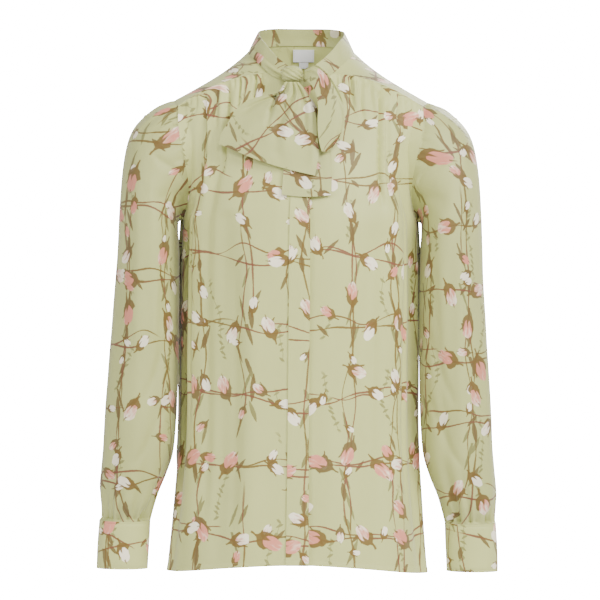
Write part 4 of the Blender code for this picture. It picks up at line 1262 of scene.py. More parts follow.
def level_at(pairs, down):
    """Value at a distance down, from a list of (down, value) pairs."""
    index = 0
    while index < len(pairs) - 2 and pairs[index + 1][0] < down:
        index += 1
    (first, low), (last, high) = pairs[index], pairs[index + 1]
    return mix(low, high, min(max((down - first) / (last - first), 0.0), 1.0))


def sleeve_places(rows, side):
    """Flat place of each point of a sleeve: round its upright middle line from the outer side."""
    outer = [(row.outer_down, row.outer_x) for row in SLEEVE]
    inner = [(0.14, 0.090)] + [(row.inner_down, row.inner_x) for row in SLEEVE[3:]]
    depth = [((row.outer_down + row.inner_down) / 2.0, row.half_depth) for row in SLEEVE]
    shift = [((row.outer_down + row.inner_down) / 2.0, row.forward) for row in SLEEVE]
    places = []
    for row in rows:
        line = []
        for index, point in enumerate(row + row[:1]):
            down = -point.z
            far = level_at(outer, down)
            near = level_at(inner, down)
            deep = level_at(depth, down)
            centre = (far + near) / 2.0
            wide = max((far - near) / 2.0, 0.03)
            angle = math.atan2((point.y + level_at(shift, down)) / deep, (abs(point.x) - centre) / wide)
            if abs(angle) > SEAM_ANGLE:
                angle += 2.0 * math.pi * ((index > len(row) / 2) - (angle > 0.0))
            line.append((side * angle * (wide + deep) / 2.0, point.z))
        places.append(line)
    return places


def facing_places(rows, angle):
    """Flat place of each point of cloth that faces the front, turned by an angle."""
    turn = Matrix.Rotation(angle, 2)
    return [[tuple(turn @ Vector((point.x, point.z))) for point in row] for row in rows]


def grid_mesh(name, rows, closed, flip, places):
    """Mesh over rows of points, with the flat cloth as its UV map."""
    count = len(rows[0])
    across = count if closed else count - 1
    faces = []
    corners = []
    for row in range(len(rows) - 1):
        for column in range(across):
            after = (column + 1) % count
            face = [row * count + column, row * count + after,
                    (row + 1) * count + after, (row + 1) * count + column]
            uvs = [places[row][column], places[row][column + 1],
                   places[row + 1][column + 1], places[row + 1][column]]
            if flip:
                face.reverse()
                uvs.reverse()
            faces.append(face)
            corners.extend(uvs)
    mesh = bpy.data.meshes.new(name)
    mesh.from_pydata([point for row in rows for point in row], [], faces)
    layer = mesh.uv_layers.new(name=CLOTH_MAP)
    layer.data.foreach_set("uv", [value for corner in corners for value in corner])
    return mesh


def plain_copy(source):
    """Mesh of an object with its modifiers applied; the object is removed."""
    graph = bpy.context.evaluated_depsgraph_get()
    mesh = bpy.data.meshes.new_from_object(source.evaluated_get(graph), depsgraph=graph)
    bpy.data.objects.remove(source)
    return mesh


def shape_mesh(name, shape):
    """A new mesh from a worked shape, which is let go."""
    mesh = bpy.data.meshes.new(name)
    shape.to_mesh(mesh)
    shape.free()
    return mesh


def new_object(name, mesh):
    """Object linked to the scene."""
    made = bpy.data.objects.new(name, mesh)
    bpy.context.scene.collection.objects.link(made)
    return made


def thickened(mesh, thickness):
    """The cloth with its thickness added inwards, its inner side in the second material."""
    source = new_object("cloth_in_work", mesh)
    wall = source.modifiers.new("thickness", "SOLIDIFY")
    wall.thickness = thickness
    wall.offset = -1.0
    wall.material_offset = 1
    solid = plain_copy(source)
    solid.shade_smooth()
    solid.set_sharp_from_angle(angle=EDGE_ANGLE)
    return solid


def cloth_piece(node, rows, places, outside, inside, thickness=SILK_THICK, closed=False,
                flip=False, held="hung", rests_on=(), with_pieces=()):
    """A piece of cloth that stands for a node, with its flat cut as its UV map."""
    mesh = grid_mesh(node + "_cloth", rows, closed, flip, places)
    mesh.materials.append(outside)
    mesh.materials.append(inside)
    piece = new_object(node + "_cloth", thickened(mesh, thickness))
    settle(piece, node)
    return piece


def settle(piece, node, stands_for=True):
    """The piece rides with the garment, and the node's solid is hidden when the piece stands for it."""
    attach(piece, "root")
    if stands_for:
        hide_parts(node)


class Net:
    """Adds nodes to a tree and joins them."""

    def __init__(self, tree):
        self.tree = tree

    def add(self, kind, **settings):
        """A new node with its settings."""
        node = self.tree.nodes.new(kind)
        for name, value in settings.items():
            setattr(node, name, value)
        return node

    def feed(self, socket, value):
        """Join a value to a socket, or set it there."""
        if isinstance(value, Number):
            value = value.socket
        if isinstance(value, bpy.types.NodeSocket):
            self.tree.links.new(value, socket)
        else:
            socket.default_value = value

    def math(self, operation, *values, clamp=False):
        """One step of arithmetic."""
        node = self.add("ShaderNodeMath", operation=operation, use_clamp=clamp)
        for socket, value in zip(node.inputs, values):
            self.feed(socket, value)
        return Number(self, node.outputs[0])

    def ramp(self, value, low, high):
        """Smooth step from 0 at the low value to 1 at the high one."""
        node = self.add("ShaderNodeMapRange", interpolation_type="SMOOTHSTEP")
        for name, given in (("Value", value), ("From Min", low), ("From Max", high)):
            self.feed(node.inputs[name], given)
        return Number(self, node.outputs["Result"])

    def under(self, value, edge, soft):
        """1 where a value lies under an edge, softly 0 above it."""
        return 1.0 - self.ramp(value, edge - soft, edge + soft)

    def point(self, x, y, z=0.0):
        """A vector from its parts."""
        node = self.add("ShaderNodeCombineXYZ")
        for socket, value in zip(node.inputs, (x, y, z)):
            self.feed(socket, value)
        return node.outputs[0]

    def noise(self, x, y, detail=1.0):
        """Smooth noise round 0, from about -0.5 to 0.5."""
        node = self.add("ShaderNodeTexNoise", noise_dimensions="2D")
        self.feed(node.inputs["Vector"], self.point(x, y))
        node.inputs["Scale"].default_value = 1.0
        node.inputs["Detail"].default_value = detail
        return Number(self, node.outputs[0]) - 0.5

    def chance(self, x, y, z):
        """Three random numbers from 0 to 1 for a cell."""
        node = self.add("ShaderNodeTexWhiteNoise", noise_dimensions="3D")
        self.feed(node.inputs["Vector"], self.point(x, y, z))
        parts = self.add("ShaderNodeSeparateColor")
        self.feed(parts.inputs[0], node.outputs["Color"])
        return [Number(self, socket) for socket in parts.outputs]

    def paint(self, share, under, over):
        """One colour laid over another."""
        node = self.add("ShaderNodeMix", data_type="RGBA")
        self.feed(node.inputs["Factor"], share)
        self.feed(node.inputs[6], under)
        self.feed(node.inputs[7], over)
        return node.outputs[2]


class Number:
    """A varying number in a shader, with plain arithmetic."""

    def __init__(self, net, socket):
        self.net = net
        self.socket = socket


def arithmetic(operation, swapped=False):
    """A method of Number that adds one step of arithmetic; swapped puts the other value first."""
    def method(self, *others):
        values = (*others, self) if swapped else (self, *others)
        return self.net.math(operation, *values)
    return method


for title, operation in (
        ("__add__", "ADD"), ("__sub__", "SUBTRACT"), ("__mul__", "MULTIPLY"), ("__truediv__", "DIVIDE"),
        ("__abs__", "ABSOLUTE"), ("floor", "FLOOR"), ("sine", "SINE"), ("cosine", "COSINE"),
        ("most", "MAXIMUM"), ("least", "MINIMUM"), ("over", "GREATER_THAN")):
    setattr(Number, title, arithmetic(operation))
for title, operation in (("__radd__", "ADD"), ("__rsub__", "SUBTRACT"), ("__rmul__", "MULTIPLY")):
    setattr(Number, title, arithmetic(operation, swapped=True))


def new_group(name, inputs, outputs):
    """A shader node group with named sockets; returns its net and its inputs by name."""
    tree = bpy.data.node_groups.new(name, "ShaderNodeTree")
    for title, kind, default in inputs:
        socket = tree.interface.new_socket(title, in_out="INPUT", socket_type=kind)
        if default is not None:
            socket.default_value = default
    for title, kind in outputs:
        tree.interface.new_socket(title, in_out="OUTPUT", socket_type=kind)
    net = Net(tree)
    given = net.add("NodeGroupInput")
    sockets = {}
    for title, kind, _default in inputs:
        socket = given.outputs[title]
        sockets[title] = Number(net, socket) if kind == "NodeSocketFloat" else socket
    return net, sockets


def close_group(net, values):
    """Join a group's results to its outputs."""
    end = net.add("NodeGroupOutput")
    for title, value in values.items():
        net.feed(end.inputs[title], value)
    return net.tree


def place_group(net, group, **values):
    """Place a node group in a net and give it its values; underscores stand for spaces."""
    node = net.add("ShaderNodeGroup", node_tree=group)
    for name, value in values.items():
        net.feed(node.inputs[name.replace("_", " ").capitalize()], value)
    return node


def bud_group():
    """One rosebud in its own frame, a bud long from -0.5 to 0.5, tip up."""
    inputs = [("X", "NodeSocketFloat", 0.0), ("Y", "NodeSocketFloat", 0.0), ("Tone", "NodeSocketFloat", 0.5)]
    outputs = [("Petal", "NodeSocketFloat"), ("Calyx", "NodeSocketFloat"), ("Shade", "NodeSocketFloat")]
    net, given = new_group("rosebud", inputs, outputs)
    tone = given["Tone"]
    x = given["X"] + net.noise(given["X"] * 2.6 + tone * 31.0, given["Y"] * 2.6) * 0.13
    y = given["Y"] + net.noise(given["X"] * 2.9, given["Y"] * 2.9 + tone * 47.0) * 0.10
    tilt = tone - 0.5
    lean = x - tilt * 0.30 * (y + 0.2)
    high = y - 0.12
    low = y + 0.02
    petal_round = net.math("SQRT", (lean * lean) * 19.0 + (high * high) * 8.0)
    hull_round = net.math("SQRT", (x * x) * 10.5 + (low * low) * 5.4)
    petal = net.under(petal_round, 1.0, 0.05)
    arms = net.under(hull_round, 1.0, 0.05) * net.ramp(petal_round, 0.92, 0.98)
    arms = arms * net.under(y - lean * tilt * 4.0, 0.24, 0.03)
    tongue = net.under(abs(lean - tilt * 0.25) - (0.06 - y) * 0.26, 0.0, 0.02)
    tongue = tongue * net.under(abs(y + 0.10), 0.17, 0.02)
    taper = net.under(abs(x) - (y + 0.62) * 0.42, 0.0, 0.02) * net.under(abs(y + 0.42), 0.16, 0.02)
    stalk = net.under(abs(x), 0.035, 0.02) * net.under(abs(y + 0.55), 0.16, 0.02)
    side = tilt.over(0.0) * 2.0 - 1.0
    curve = x * side - 0.27 - (y + 0.02) * (y + 0.02) * 1.3
    curl = net.under(abs(curve), 0.028, 0.02) * net.under(abs(y - 0.04), 0.20, 0.02)
    tip = net.under(abs(lean + 0.05) - (0.60 - y) * 0.16, 0.0, 0.02) * net.under(abs(y - 0.47), 0.10, 0.02)
    tip = tip * (abs(tilt) - 0.22).over(0.0)
    calyx = arms.most(tongue).most(taper).most(stalk).most(curl).most(tip)
    shade = net.noise(lean * 9.0 + tone * 9.0, y * 2.6, 2.0) * 1.5 + (0.25 - y) * 0.8
    return close_group(net, {"Petal": petal, "Calyx": calyx, "Shade": shade})


def leaf_mask(net, x, y, length, width):
    """A slim leaf that starts at the origin and grows along Y."""
    share = y / length
    wide = net.math("SINE", net.math("MAXIMUM", share.least(1.0), 0.0) * math.pi) * width
    inside = net.under(abs(x + net.noise(x * 160.0, y * 160.0) * 0.0012) - wide, 0.0, 0.0003)
    return inside * net.ramp(share, 0.02, 0.08) * net.under(share, 0.96, 0.04)


class Stems:
    """A family of wavy stems: their rows, how they sway, and places along them."""

    def __init__(self, net, along, across, pitch, sway, rate, seed):
        self.net = net
        self.along = along
        self.across = across
        self.pitch = pitch
        self.sway = sway
        self.rate = rate
        self.seed = seed
        self.row = (across / pitch + 0.5).floor()

    def line(self, along):
        """Where the row's stem runs at a place along it."""
        sway = self.net.noise(along * self.rate + self.seed, self.row * 7.31) * 2.0 * self.sway
        return self.row * self.pitch + sway

    def offset(self, strand=0.0, rate=1.0, seed=0.0):
        """Distance from the stem, or from a strand that winds round it."""
        offset = self.across - self.line(self.along)
        if strand:
            wind = self.net.noise(self.along * self.rate * rate + seed, self.row * 3.7 + seed)
            offset = offset - wind * 2.0 * strand
        return offset

    def cell(self, step, jitter, seed):
        """Cells along the stem: offsets from a place in each one, and its random numbers."""
        index = (self.along / step).floor()
        first, second, third = self.net.chance(index, self.row, seed)
        centre = (index + 0.5 + (first - 0.5) * jitter) * step
        return self.along - centre, self.across - self.line(centre), (index, first, second, third)


def turned(along, across, angle):
    """Offsets turned by an angle."""
    sine = angle.sine()
    cosine = angle.cosine()
    return along * cosine + across * sine, across * cosine - along * sine


def bud_family(net, stems, group, step, jitter, sizes, spread, density, seed):
    """Rosebuds along the stems, each at its own place, size and angle."""
    along, across, (index, _, second, third) = stems.cell(step, jitter, seed)
    fourth, fifth, sixth = net.chance(index, stems.row, seed + 5.0)
    facing = (fourth - 0.5).over(0.0) * math.pi
    angle = facing + (second - 0.5) * spread
    x, y = turned(across, along, angle)
    size = sizes[0] + fifth * (sizes[1] - sizes[0])
    shape = place_group(net, group, x=x / size, y=y / size - 0.25 - 0.2 * (sixth - 0.5), tone=third)
    there = 1.0 - (sixth - density).over(0.0)
    return (Number(net, shape.outputs["Petal"]) * there, Number(net, shape.outputs["Calyx"]) * there,
            Number(net, shape.outputs["Shade"]), fifth, fourth)


def leaf_family(net, stems, step, length, width, lean, density, seed):
    """Slim leaves that lean off the stems, to one side or the other."""
    along, across, (_, first, second, third) = stems.cell(step, 0.4, seed)
    side = (third - 0.5).over(0.0) * 2.0 - 1.0
    angle = side * (lean + second * 0.25)
    x, y = turned(across, along, angle)
    size = 0.55 + first * 0.75
    there = 1.0 - (second - density).over(0.0)
    return leaf_mask(net, x, y + length * 0.4, size * length, width) * there


def stem_line(net, stems, width, gap_rate, gap_edge, seed):
    """A stem's stroke, with gaps where it breaks off."""
    stroke = net.under(abs(stems.offset()), width, 0.0004)
    gaps = net.noise(stems.along * gap_rate + seed, stems.row * 5.3)
    return stroke * net.ramp(gaps, gap_edge, gap_edge + 0.04)


def print_group():
    """Rosebuds on a loose trellis of stems, over a plain ground, in metres of flat cloth."""
    colours = [("Ground", GROUND), ("Stem", STEM_COLOUR), ("Leaf", LEAF_COLOUR), ("Calyx", CALYX_COLOUR),
               ("Sprig", SPRIG_COLOUR), ("Pink", PINK_COLOUR), ("Cream", CREAM_COLOUR)]
    inputs = [("Cloth", "NodeSocketVector", None), ("Strength", "NodeSocketFloat", 1.0)]
    inputs += [(title, "NodeSocketColor", (*colour, 1.0)) for title, colour in colours]
    outputs = [("Color", "NodeSocketColor"), ("Ink", "NodeSocketFloat")]
    net, given = new_group("rosebud_trellis", inputs, outputs)
    bud = bud_group()
    parts = net.add("ShaderNodeSeparateXYZ")
    net.feed(parts.inputs[0], given["Cloth"])
    u = Number(net, parts.outputs[0])
    v = Number(net, parts.outputs[1])
    rough_u = u + net.noise(u * 260.0, v * 260.0) * 0.0009
    rough_v = v + net.noise(u * 240.0 + 9.0, v * 240.0) * 0.0009
    rows = Stems(net, rough_u, rough_v, ROW_PITCH, ROW_SWAY, 8.5, 3.0)
    more_rows = Stems(net, rough_u, rough_v - 0.009, ROW_PITCH, ROW_SWAY * 1.2, 9.5, 43.0)
    posts = Stems(net, rough_v, rough_u, POST_PITCH, POST_SWAY, 6.5, 11.0)
    more_posts = Stems(net, rough_v, rough_u + 0.007, POST_PITCH, POST_SWAY * 1.1, 7.8, 71.0)
    sprays = Stems(net, rough_v, rough_u + 0.026, SPRAY_PITCH, 0.040, 8.0, 23.0)
    width = net.noise(u * 24.0, v * 24.0) * 0.0022 + 0.00115
    row_lines = stem_line(net, rows, width, 6.0, -0.24, 1.0)
    row_lines = row_lines.most(stem_line(net, more_rows, width * 0.85, 7.0, -0.12, 2.0))
    post_lines = stem_line(net, posts, width * 1.05, 3.2, -0.18, 40.0)
    post_lines = post_lines.most(stem_line(net, more_posts, width * 0.85, 4.1, -0.08, 50.0))
    spray_there = net.ramp(net.noise(rough_v * 11.0 + 3.0, sprays.row * 6.7), 0.02, 0.05)
    spray_line = net.under(abs(sprays.offset()), 0.00035, 0.0003) * spray_there
    tiny = leaf_family(net, sprays, 0.0078, 0.0125, 0.0017, 0.80, 0.90, 31.0) * spray_there
    leaves = leaf_family(net, posts, 0.047, 0.040, 0.0030, 0.34, 0.78, 37.0)
    more_leaves = leaf_family(net, more_posts, 0.055, 0.050, 0.0022, 0.24, 0.78, 41.0)
    row_leaves = leaf_family(net, rows, 0.058, 0.026, 0.0024, 0.70, 0.70, 43.0)
    blades = leaf_family(net, posts, 0.109, 0.034, 0.0038, 0.05, 0.60, 47.0)
    large = bud_family(net, rows, bud, 0.066, 0.42, (0.026, 0.042), 2.6, 0.85, 51.0)
    second = bud_family(net, more_rows, bud, 0.083, 0.50, (0.017, 0.028), 3.4, 0.80, 71.0)
    middle = bud_family(net, posts, bud, 0.098, 0.40, (0.024, 0.040), 2.4, 0.72, 61.0)
    small = bud_family(net, more_posts, bud, 0.0910, 0.50, (0.015, 0.024), 3.4, 0.75, 81.0)
    ink_shift = net.noise(u * 9.0, v * 9.0)
    olive = net.ramp(net.noise(u * 7.0 + 5.0, v * 9.0), -0.10, 0.10)
    colour = given["Ground"]
    colour = net.paint(spray_line.most(tiny) * 0.85, colour, given["Sprig"])
    leaf_colour = net.paint(olive, given["Sprig"], given["Leaf"])
    colour = net.paint(leaves.most(more_leaves) * 0.90, colour, leaf_colour)
    post_colour = net.paint(net.ramp(ink_shift, -0.08, 0.10), given["Calyx"], given["Stem"])
    colour = net.paint(post_lines * 0.88, colour, post_colour)
    colour = net.paint(blades.most(row_leaves) * 0.92, colour, given["Leaf"])
    row_colour = net.paint(net.ramp(ink_shift, -0.16, 0.0), given["Calyx"], given["Stem"])
    colour = net.paint(row_lines * 0.92, colour, row_colour)
    ink = row_lines.most(post_lines).most(leaves)
    for petal, calyx, shade, tone, hue in (small, second, middle, large):
        petals = net.paint(net.ramp(tone + shade * 0.55, 0.42, 0.90), given["Cream"], given["Pink"])
        petals = net.paint(net.ramp(shade, 0.45, 1.0) * 0.35, petals, given["Stem"])
        colour = net.paint(petal * 0.96, colour, petals)
        cups = net.paint(net.ramp(hue + ink_shift + shade * 0.15, 0.78, 1.05), given["Calyx"], given["Leaf"])
        colour = net.paint(calyx * 0.95, colour, cups)
        ink = ink.most(petal).most(calyx)
    colour = net.paint(given["Strength"], given["Ground"], colour)
    return close_group(net, {"Color": colour, "Ink": ink})


def crepe_group():
    """Fine crinkled weave of crepe: a height, and a slow unevenness of tone."""
    inputs = [("Cloth", "NodeSocketVector", None), ("Grain", "NodeSocketFloat", 0.00045)]
    outputs = [("Height", "NodeSocketFloat"), ("Tone", "NodeSocketFloat")]
    net, given = new_group("crepe_weave", inputs, outputs)
    parts = net.add("ShaderNodeSeparateXYZ")
    net.feed(parts.inputs[0], given["Cloth"])
    u = Number(net, parts.outputs[0])
    v = Number(net, parts.outputs[1])
    warp = (u / given["Grain"] * math.pi + net.noise(u * 900.0, v * 300.0) * 5.0).sine()
    weft = (v / given["Grain"] * math.pi + net.noise(u * 300.0, v * 900.0) * 5.0).sine()
    slub = net.noise(u * 70.0, v * 1500.0)
    height = warp * 0.30 + weft * 0.30 + slub * 0.5
    tone = net.noise(u * 26.0, v * 11.0, 2.0) + net.noise(u * 800.0, v * 120.0) * 0.4
    return close_group(net, {"Height": height, "Tone": tone})


def material_net(name, colour, roughness):
    """A material with its Principled shader; returns the material, its net and the shader."""
    material = bpy.data.materials.new(name)
    material.use_nodes = True
    material.diffuse_color = (*colour, 1.0)
    net = Net(material.node_tree)
    shader = material.node_tree.nodes["Principled BSDF"]
    shader.inputs["Base Color"].default_value = (*colour, 1.0)
    shader.inputs["Roughness"].default_value = roughness
    return material, net, shader


def cloth_vector(net, shift):
    """Place on the flat cloth, moved so that each piece shows its own part of the print."""
    place = net.add("ShaderNodeUVMap", uv_map=CLOTH_MAP)
    moved = net.add("ShaderNodeVectorMath", operation="ADD")
    net.feed(moved.inputs[0], place.outputs[0])
    moved.inputs[1].default_value = (*shift, 0.0)
    return moved.outputs[0]


def silk(name, shift, groups, strength=1.0, light=1.0, sheen=0.25):
    """Printed crepe silk for one piece."""
    material, net, shader = material_net(name, GROUND, 0.52)
    place = cloth_vector(net, shift)
    dyed = place_group(net, groups.trellis, cloth=place, strength=strength)
    # Painted light or shade: every print colour is scaled by the piece's light factor
    for title, colour in groups.colours.items():
        lit = [min(part * light, 1.0) for part in colour]
        dyed.inputs[title].default_value = (*lit, 1.0)
    weave = place_group(net, groups.weave, cloth=place, grain=groups.grain)
    tone = Number(net, weave.outputs["Tone"])
    bright = net.add("ShaderNodeHueSaturation")
    net.feed(bright.inputs["Value"], tone * TONE_SHARE + 1.0)
    net.feed(bright.inputs["Color"], dyed.outputs["Color"])
    net.feed(shader.inputs["Base Color"], bright.outputs[0])
    net.feed(shader.inputs["Roughness"], Number(net, dyed.outputs["Ink"]) * 0.06 + tone * 0.08 + 0.50)
    bump = net.add("ShaderNodeBump")
    bump.inputs["Strength"].default_value = WEAVE_STRENGTH
    bump.inputs["Distance"].default_value = WEAVE_DEPTH
    net.feed(bump.inputs["Height"], weave.outputs["Height"])
    net.feed(shader.inputs["Normal"], bump.outputs[0])
    shader.inputs["Sheen Weight"].default_value = sheen
    shader.inputs["Sheen Roughness"].default_value = 0.45
    shader.inputs["Sheen Tint"].default_value = (1.0, 0.98, 0.90, 1.0)
    shader.inputs["Specular IOR Level"].default_value = 0.35
    return material


def woven_label(name):
    """Plain white woven ribbon, blank."""
    material, net, shader = material_net(name, LABEL_COLOUR, 0.6)
    place = net.add("ShaderNodeUVMap", uv_map=CLOTH_MAP)
    parts = net.add("ShaderNodeSeparateXYZ")
    net.feed(parts.inputs[0], place.outputs[0])
    u = Number(net, parts.outputs[0])
    v = Number(net, parts.outputs[1])
    rib = (v * LABEL_RIBS).sine() * 0.6 + (u * LABEL_RIBS * 0.6 + v * 400.0).sine() * 0.4
    bump = net.add("ShaderNodeBump")
    bump.inputs["Strength"].default_value = 0.5
    bump.inputs["Distance"].default_value = 0.00012
    net.feed(bump.inputs["Height"], rib)
    net.feed(shader.inputs["Normal"], bump.outputs[0])
    net.feed(shader.inputs["Roughness"], rib * 0.05 + 0.6)
    shader.inputs["Sheen Weight"].default_value = 0.2
    return material


def plain_material(name, colour, roughness, bump_size=0.0004):
    """One colour with a fine unevenness from the object's own coordinates."""
    material, net, shader = material_net(name, colour, roughness)
    place = net.add("ShaderNodeTexCoord")
    grain = net.add("ShaderNodeTexNoise")
    grain.inputs["Scale"].default_value = 1.0 / bump_size
    net.feed(grain.inputs["Vector"], place.outputs["Object"])
    net.feed(shader.inputs["Roughness"], Number(net, grain.outputs[0]) * 0.1 + (roughness - 0.05))
    bump = net.add("ShaderNodeBump")
    bump.inputs["Strength"].default_value = 0.2
    bump.inputs["Distance"].default_value = bump_size * 0.2
    net.feed(bump.inputs["Height"], grain.outputs[0])
    net.feed(shader.inputs["Normal"], bump.outputs[0])
    return material


def stitch_shape(material):
    """One stitch: a thin rounded thread along X."""
    shape = bmesh.new()
    bmesh.ops.create_icosphere(shape, subdivisions=1, radius=0.5)
    bmesh.ops.scale(shape, verts=shape.verts, vec=(STITCH_LENGTH, STITCH_THICK, STITCH_THICK))
    for face in shape.faces:
        face.smooth = True
    mesh = shape_mesh("stitch_shape", shape)
    mesh.materials.append(material)
    return new_object("stitch_shape", mesh)


def stitch_tree():
    """Geometry nodes that lay a stitch at even steps along every line."""
    tree = bpy.data.node_groups.new("stitch_line", "GeometryNodeTree")
    interface = tree.interface
    interface.new_socket("Lines", in_out="INPUT", socket_type="NodeSocketGeometry")
    pitch = interface.new_socket("Pitch", in_out="INPUT", socket_type="NodeSocketFloat")
    pitch.default_value = STITCH_PITCH
    interface.new_socket("Stitch", in_out="INPUT", socket_type="NodeSocketObject")
    interface.new_socket("Thread", in_out="INPUT", socket_type="NodeSocketMaterial")
    interface.new_socket("Stitches", in_out="OUTPUT", socket_type="NodeSocketGeometry")
    net = Net(tree)
    given = net.add("NodeGroupInput")
    curve = net.add("GeometryNodeMeshToCurve")
    even = net.add("GeometryNodeResampleCurve", mode="LENGTH")
    tangent = net.add("GeometryNodeInputTangent")
    turn = net.add("FunctionNodeAlignRotationToVector", axis="X")
    model = net.add("GeometryNodeObjectInfo", transform_space="ORIGINAL")
    wobble = net.add("FunctionNodeRandomValue", data_type="FLOAT")
    wobble.inputs["Seed"].default_value = 5
    copies = net.add("GeometryNodeInstanceOnPoints")
    real = net.add("GeometryNodeRealizeInstances")
    finish = net.add("GeometryNodeSetMaterial")
    end = net.add("NodeGroupOutput")
    low, high = [socket for socket in wobble.inputs if socket.enabled and socket.name in ("Min", "Max")]
    low.default_value = 0.86
    high.default_value = 1.08
    net.feed(curve.inputs[0], given.outputs["Lines"])
    net.feed(even.inputs["Curve"], curve.outputs[0])
    net.feed(even.inputs["Length"], given.outputs["Pitch"])
    net.feed(model.inputs["Object"], given.outputs["Stitch"])
    net.feed(turn.inputs["Vector"], tangent.outputs[0])
    net.feed(copies.inputs["Points"], even.outputs[0])
    net.feed(copies.inputs["Instance"], model.outputs["Geometry"])
    net.feed(copies.inputs["Rotation"], turn.outputs[0])
    size = [socket for socket in wobble.outputs if socket.enabled][0]
    net.feed(copies.inputs["Scale"], size)
    net.feed(real.inputs[0], copies.outputs[0])
    net.feed(finish.inputs["Geometry"], real.outputs[0])
    net.feed(finish.inputs["Material"], given.outputs["Thread"])
    net.feed(end.inputs[0], finish.outputs[0])
    return tree


def socket_name(tree, title):
    """Identifier of a named input of a node tree."""
    for item in tree.interface.items_tree:
        if item.in_out == "INPUT" and item.name == title:
            return item.identifier
    raise ValueError("no input named " + title)


def stitch_piece(name, lines, node, thread):
    """Stitches along lines of points, as one plain mesh that goes with a node."""
    points = []
    edges = []
    for line in lines:
        first = len(points)
        points.extend(line)
        edges.extend((index, index + 1) for index in range(first, len(points) - 1))
    mesh = bpy.data.meshes.new(name)
    mesh.from_pydata(points, edges, [])
    source = new_object(name + "_lines", mesh)
    tree = bpy.data.node_groups.get("stitch_line") or stitch_tree()
    shape = bpy.data.objects.get("stitch_shape") or stitch_shape(thread)
    nodes = source.modifiers.new("stitches", "NODES")
    nodes.node_group = tree
    nodes[socket_name(tree, "Pitch")] = STITCH_PITCH
    nodes[socket_name(tree, "Stitch")] = shape
    nodes[socket_name(tree, "Thread")] = thread
    piece = new_object(name, plain_copy(source))
    piece.data.shade_smooth()
    settle(piece, node, stands_for=False)
    return piece


def mirror_rows(rows):
    """The same rows on the other side of the body."""
    return [[mirrored(point) for point in row] for row in rows]


def lifted(points, towards, distance):
    """A line of points moved a little out of the cloth."""
    return [point + towards(point) * distance for point in points]


def forward(_point):
    """Out of the front."""
    return Vector((0.0, -1.0, 0.0))


def away(point):
    """Out of the body, level."""
    return Vector((point.x * 0.35, point.y, 0.0)).normalized()


def centre_index(columns):
    """Index of the front's column nearest the centre line."""
    share = -CENTRE_EDGE / (1.0 - CENTRE_EDGE)
    return round(share * columns)


def hem_line(rows, towards):
    """Line of the hem's stitches on a body panel."""
    return lifted(rows[HEM_STITCH_ROW], towards, STITCH_RISE)


Cloths = namedtuple("Cloths", "trellis weave grain colours thread button label")


def shared_cloths():
    """Node groups, colours and small materials, made once from the settings."""
    settings = bpy.context.scene.blouse_cloth
    colours = {"Ground": tuple(settings.ground), "Stem": tuple(settings.stem), "Leaf": LEAF_COLOUR,
               "Calyx": tuple(settings.calyx), "Sprig": SPRIG_COLOUR,
               "Pink": tuple(settings.pink), "Cream": CREAM_COLOUR}
    trellis = bpy.data.node_groups.get("rosebud_trellis") or print_group()
    weave = bpy.data.node_groups.get("crepe_weave") or crepe_group()
    thread = bpy.data.materials.get("sewing_thread") or plain_material(
        "sewing_thread", THREAD_COLOUR, 0.6)
    button = bpy.data.materials.get("button_shell") or plain_material(
        "button_shell", BUTTON_COLOUR, 0.28)
    label = bpy.data.materials.get("woven_label") or woven_label("woven_label")
    return Cloths(trellis, weave, settings.grain, colours, thread, button, label)


def silk_pair(name, shift, cloths, light=1.0):
    """Printed outer side, scaled by its painted light or shade factor, and inner side of one piece, paler by
    its faint print and by painted light.
    """
    outside = silk(name + "_silk", shift, cloths, light=light)
    inside = silk(name + "_inside", shift, cloths, strength=INSIDE_PRINT, light=INSIDE_PAINTED_LIGHT)
    return outside, inside


def dress_fronts(cloths):
    """Both fronts and the fly's covering strip, with their stitches."""
    home = centre_index(FRONT_COLUMNS)
    rows = front_grid(LEFT_FOLDS, LEFT_CREASES, 1.0, True)
    cloth_piece("front_left", rows, upright_places(rows, home),
                *silk_pair("front_left", PRINT_SHIFTS["front"], cloths), flip=True, rests_on=("yoke",))
    stitch_piece("front_left_hem", [hem_line(rows, away)], "front_left", cloths.thread)
    rows = mirror_rows(front_grid(RIGHT_FOLDS, RIGHT_CREASES, -1.0, False))
    cloth_piece("front_right", rows, upright_places(rows, home, -1.0),
                *silk_pair("front_right", PRINT_SHIFTS["front"], cloths), rests_on=("yoke",))
    stitch_piece("front_right_hem", [hem_line(rows, away)], "front_right", cloths.thread)
    rows = fly_grid()
    cloth_piece("fly_placket", rows, upright_places(rows, FLY_COLUMNS // 2),
                *silk_pair("fly_placket", PRINT_SHIFTS["fly"], cloths), thickness=FLY_THICK,
                rests_on=("front_right",))
    seam = [row[FLY_STITCH_COLUMN] for row in rows]
    stitch_piece("fly_placket_stitches", [lifted(seam, forward, STITCH_RISE)], "fly_placket",
                 cloths.thread)


def dress_back(cloths):
    """The back and the yoke that it is gathered under."""
    rows = back_grid()
    cloth_piece("back", rows, upright_places(rows, BACK_COLUMNS),
                *silk_pair("back", PRINT_SHIFTS["back"], cloths), flip=True, rests_on=("yoke",))
    stitch_piece("back_hem", [hem_line(rows, away)], "back", cloths.thread)
    rows = yoke_grid()
    # The yoke's silk carries painted shade, its inner side painted light
    cloth_piece("yoke", rows, even_places(rows, YOKE_STEPS),
                *silk_pair("yoke", PRINT_SHIFTS["yoke"], cloths, YOKE_PAINTED_SHADE), flip=True, held="stretched")


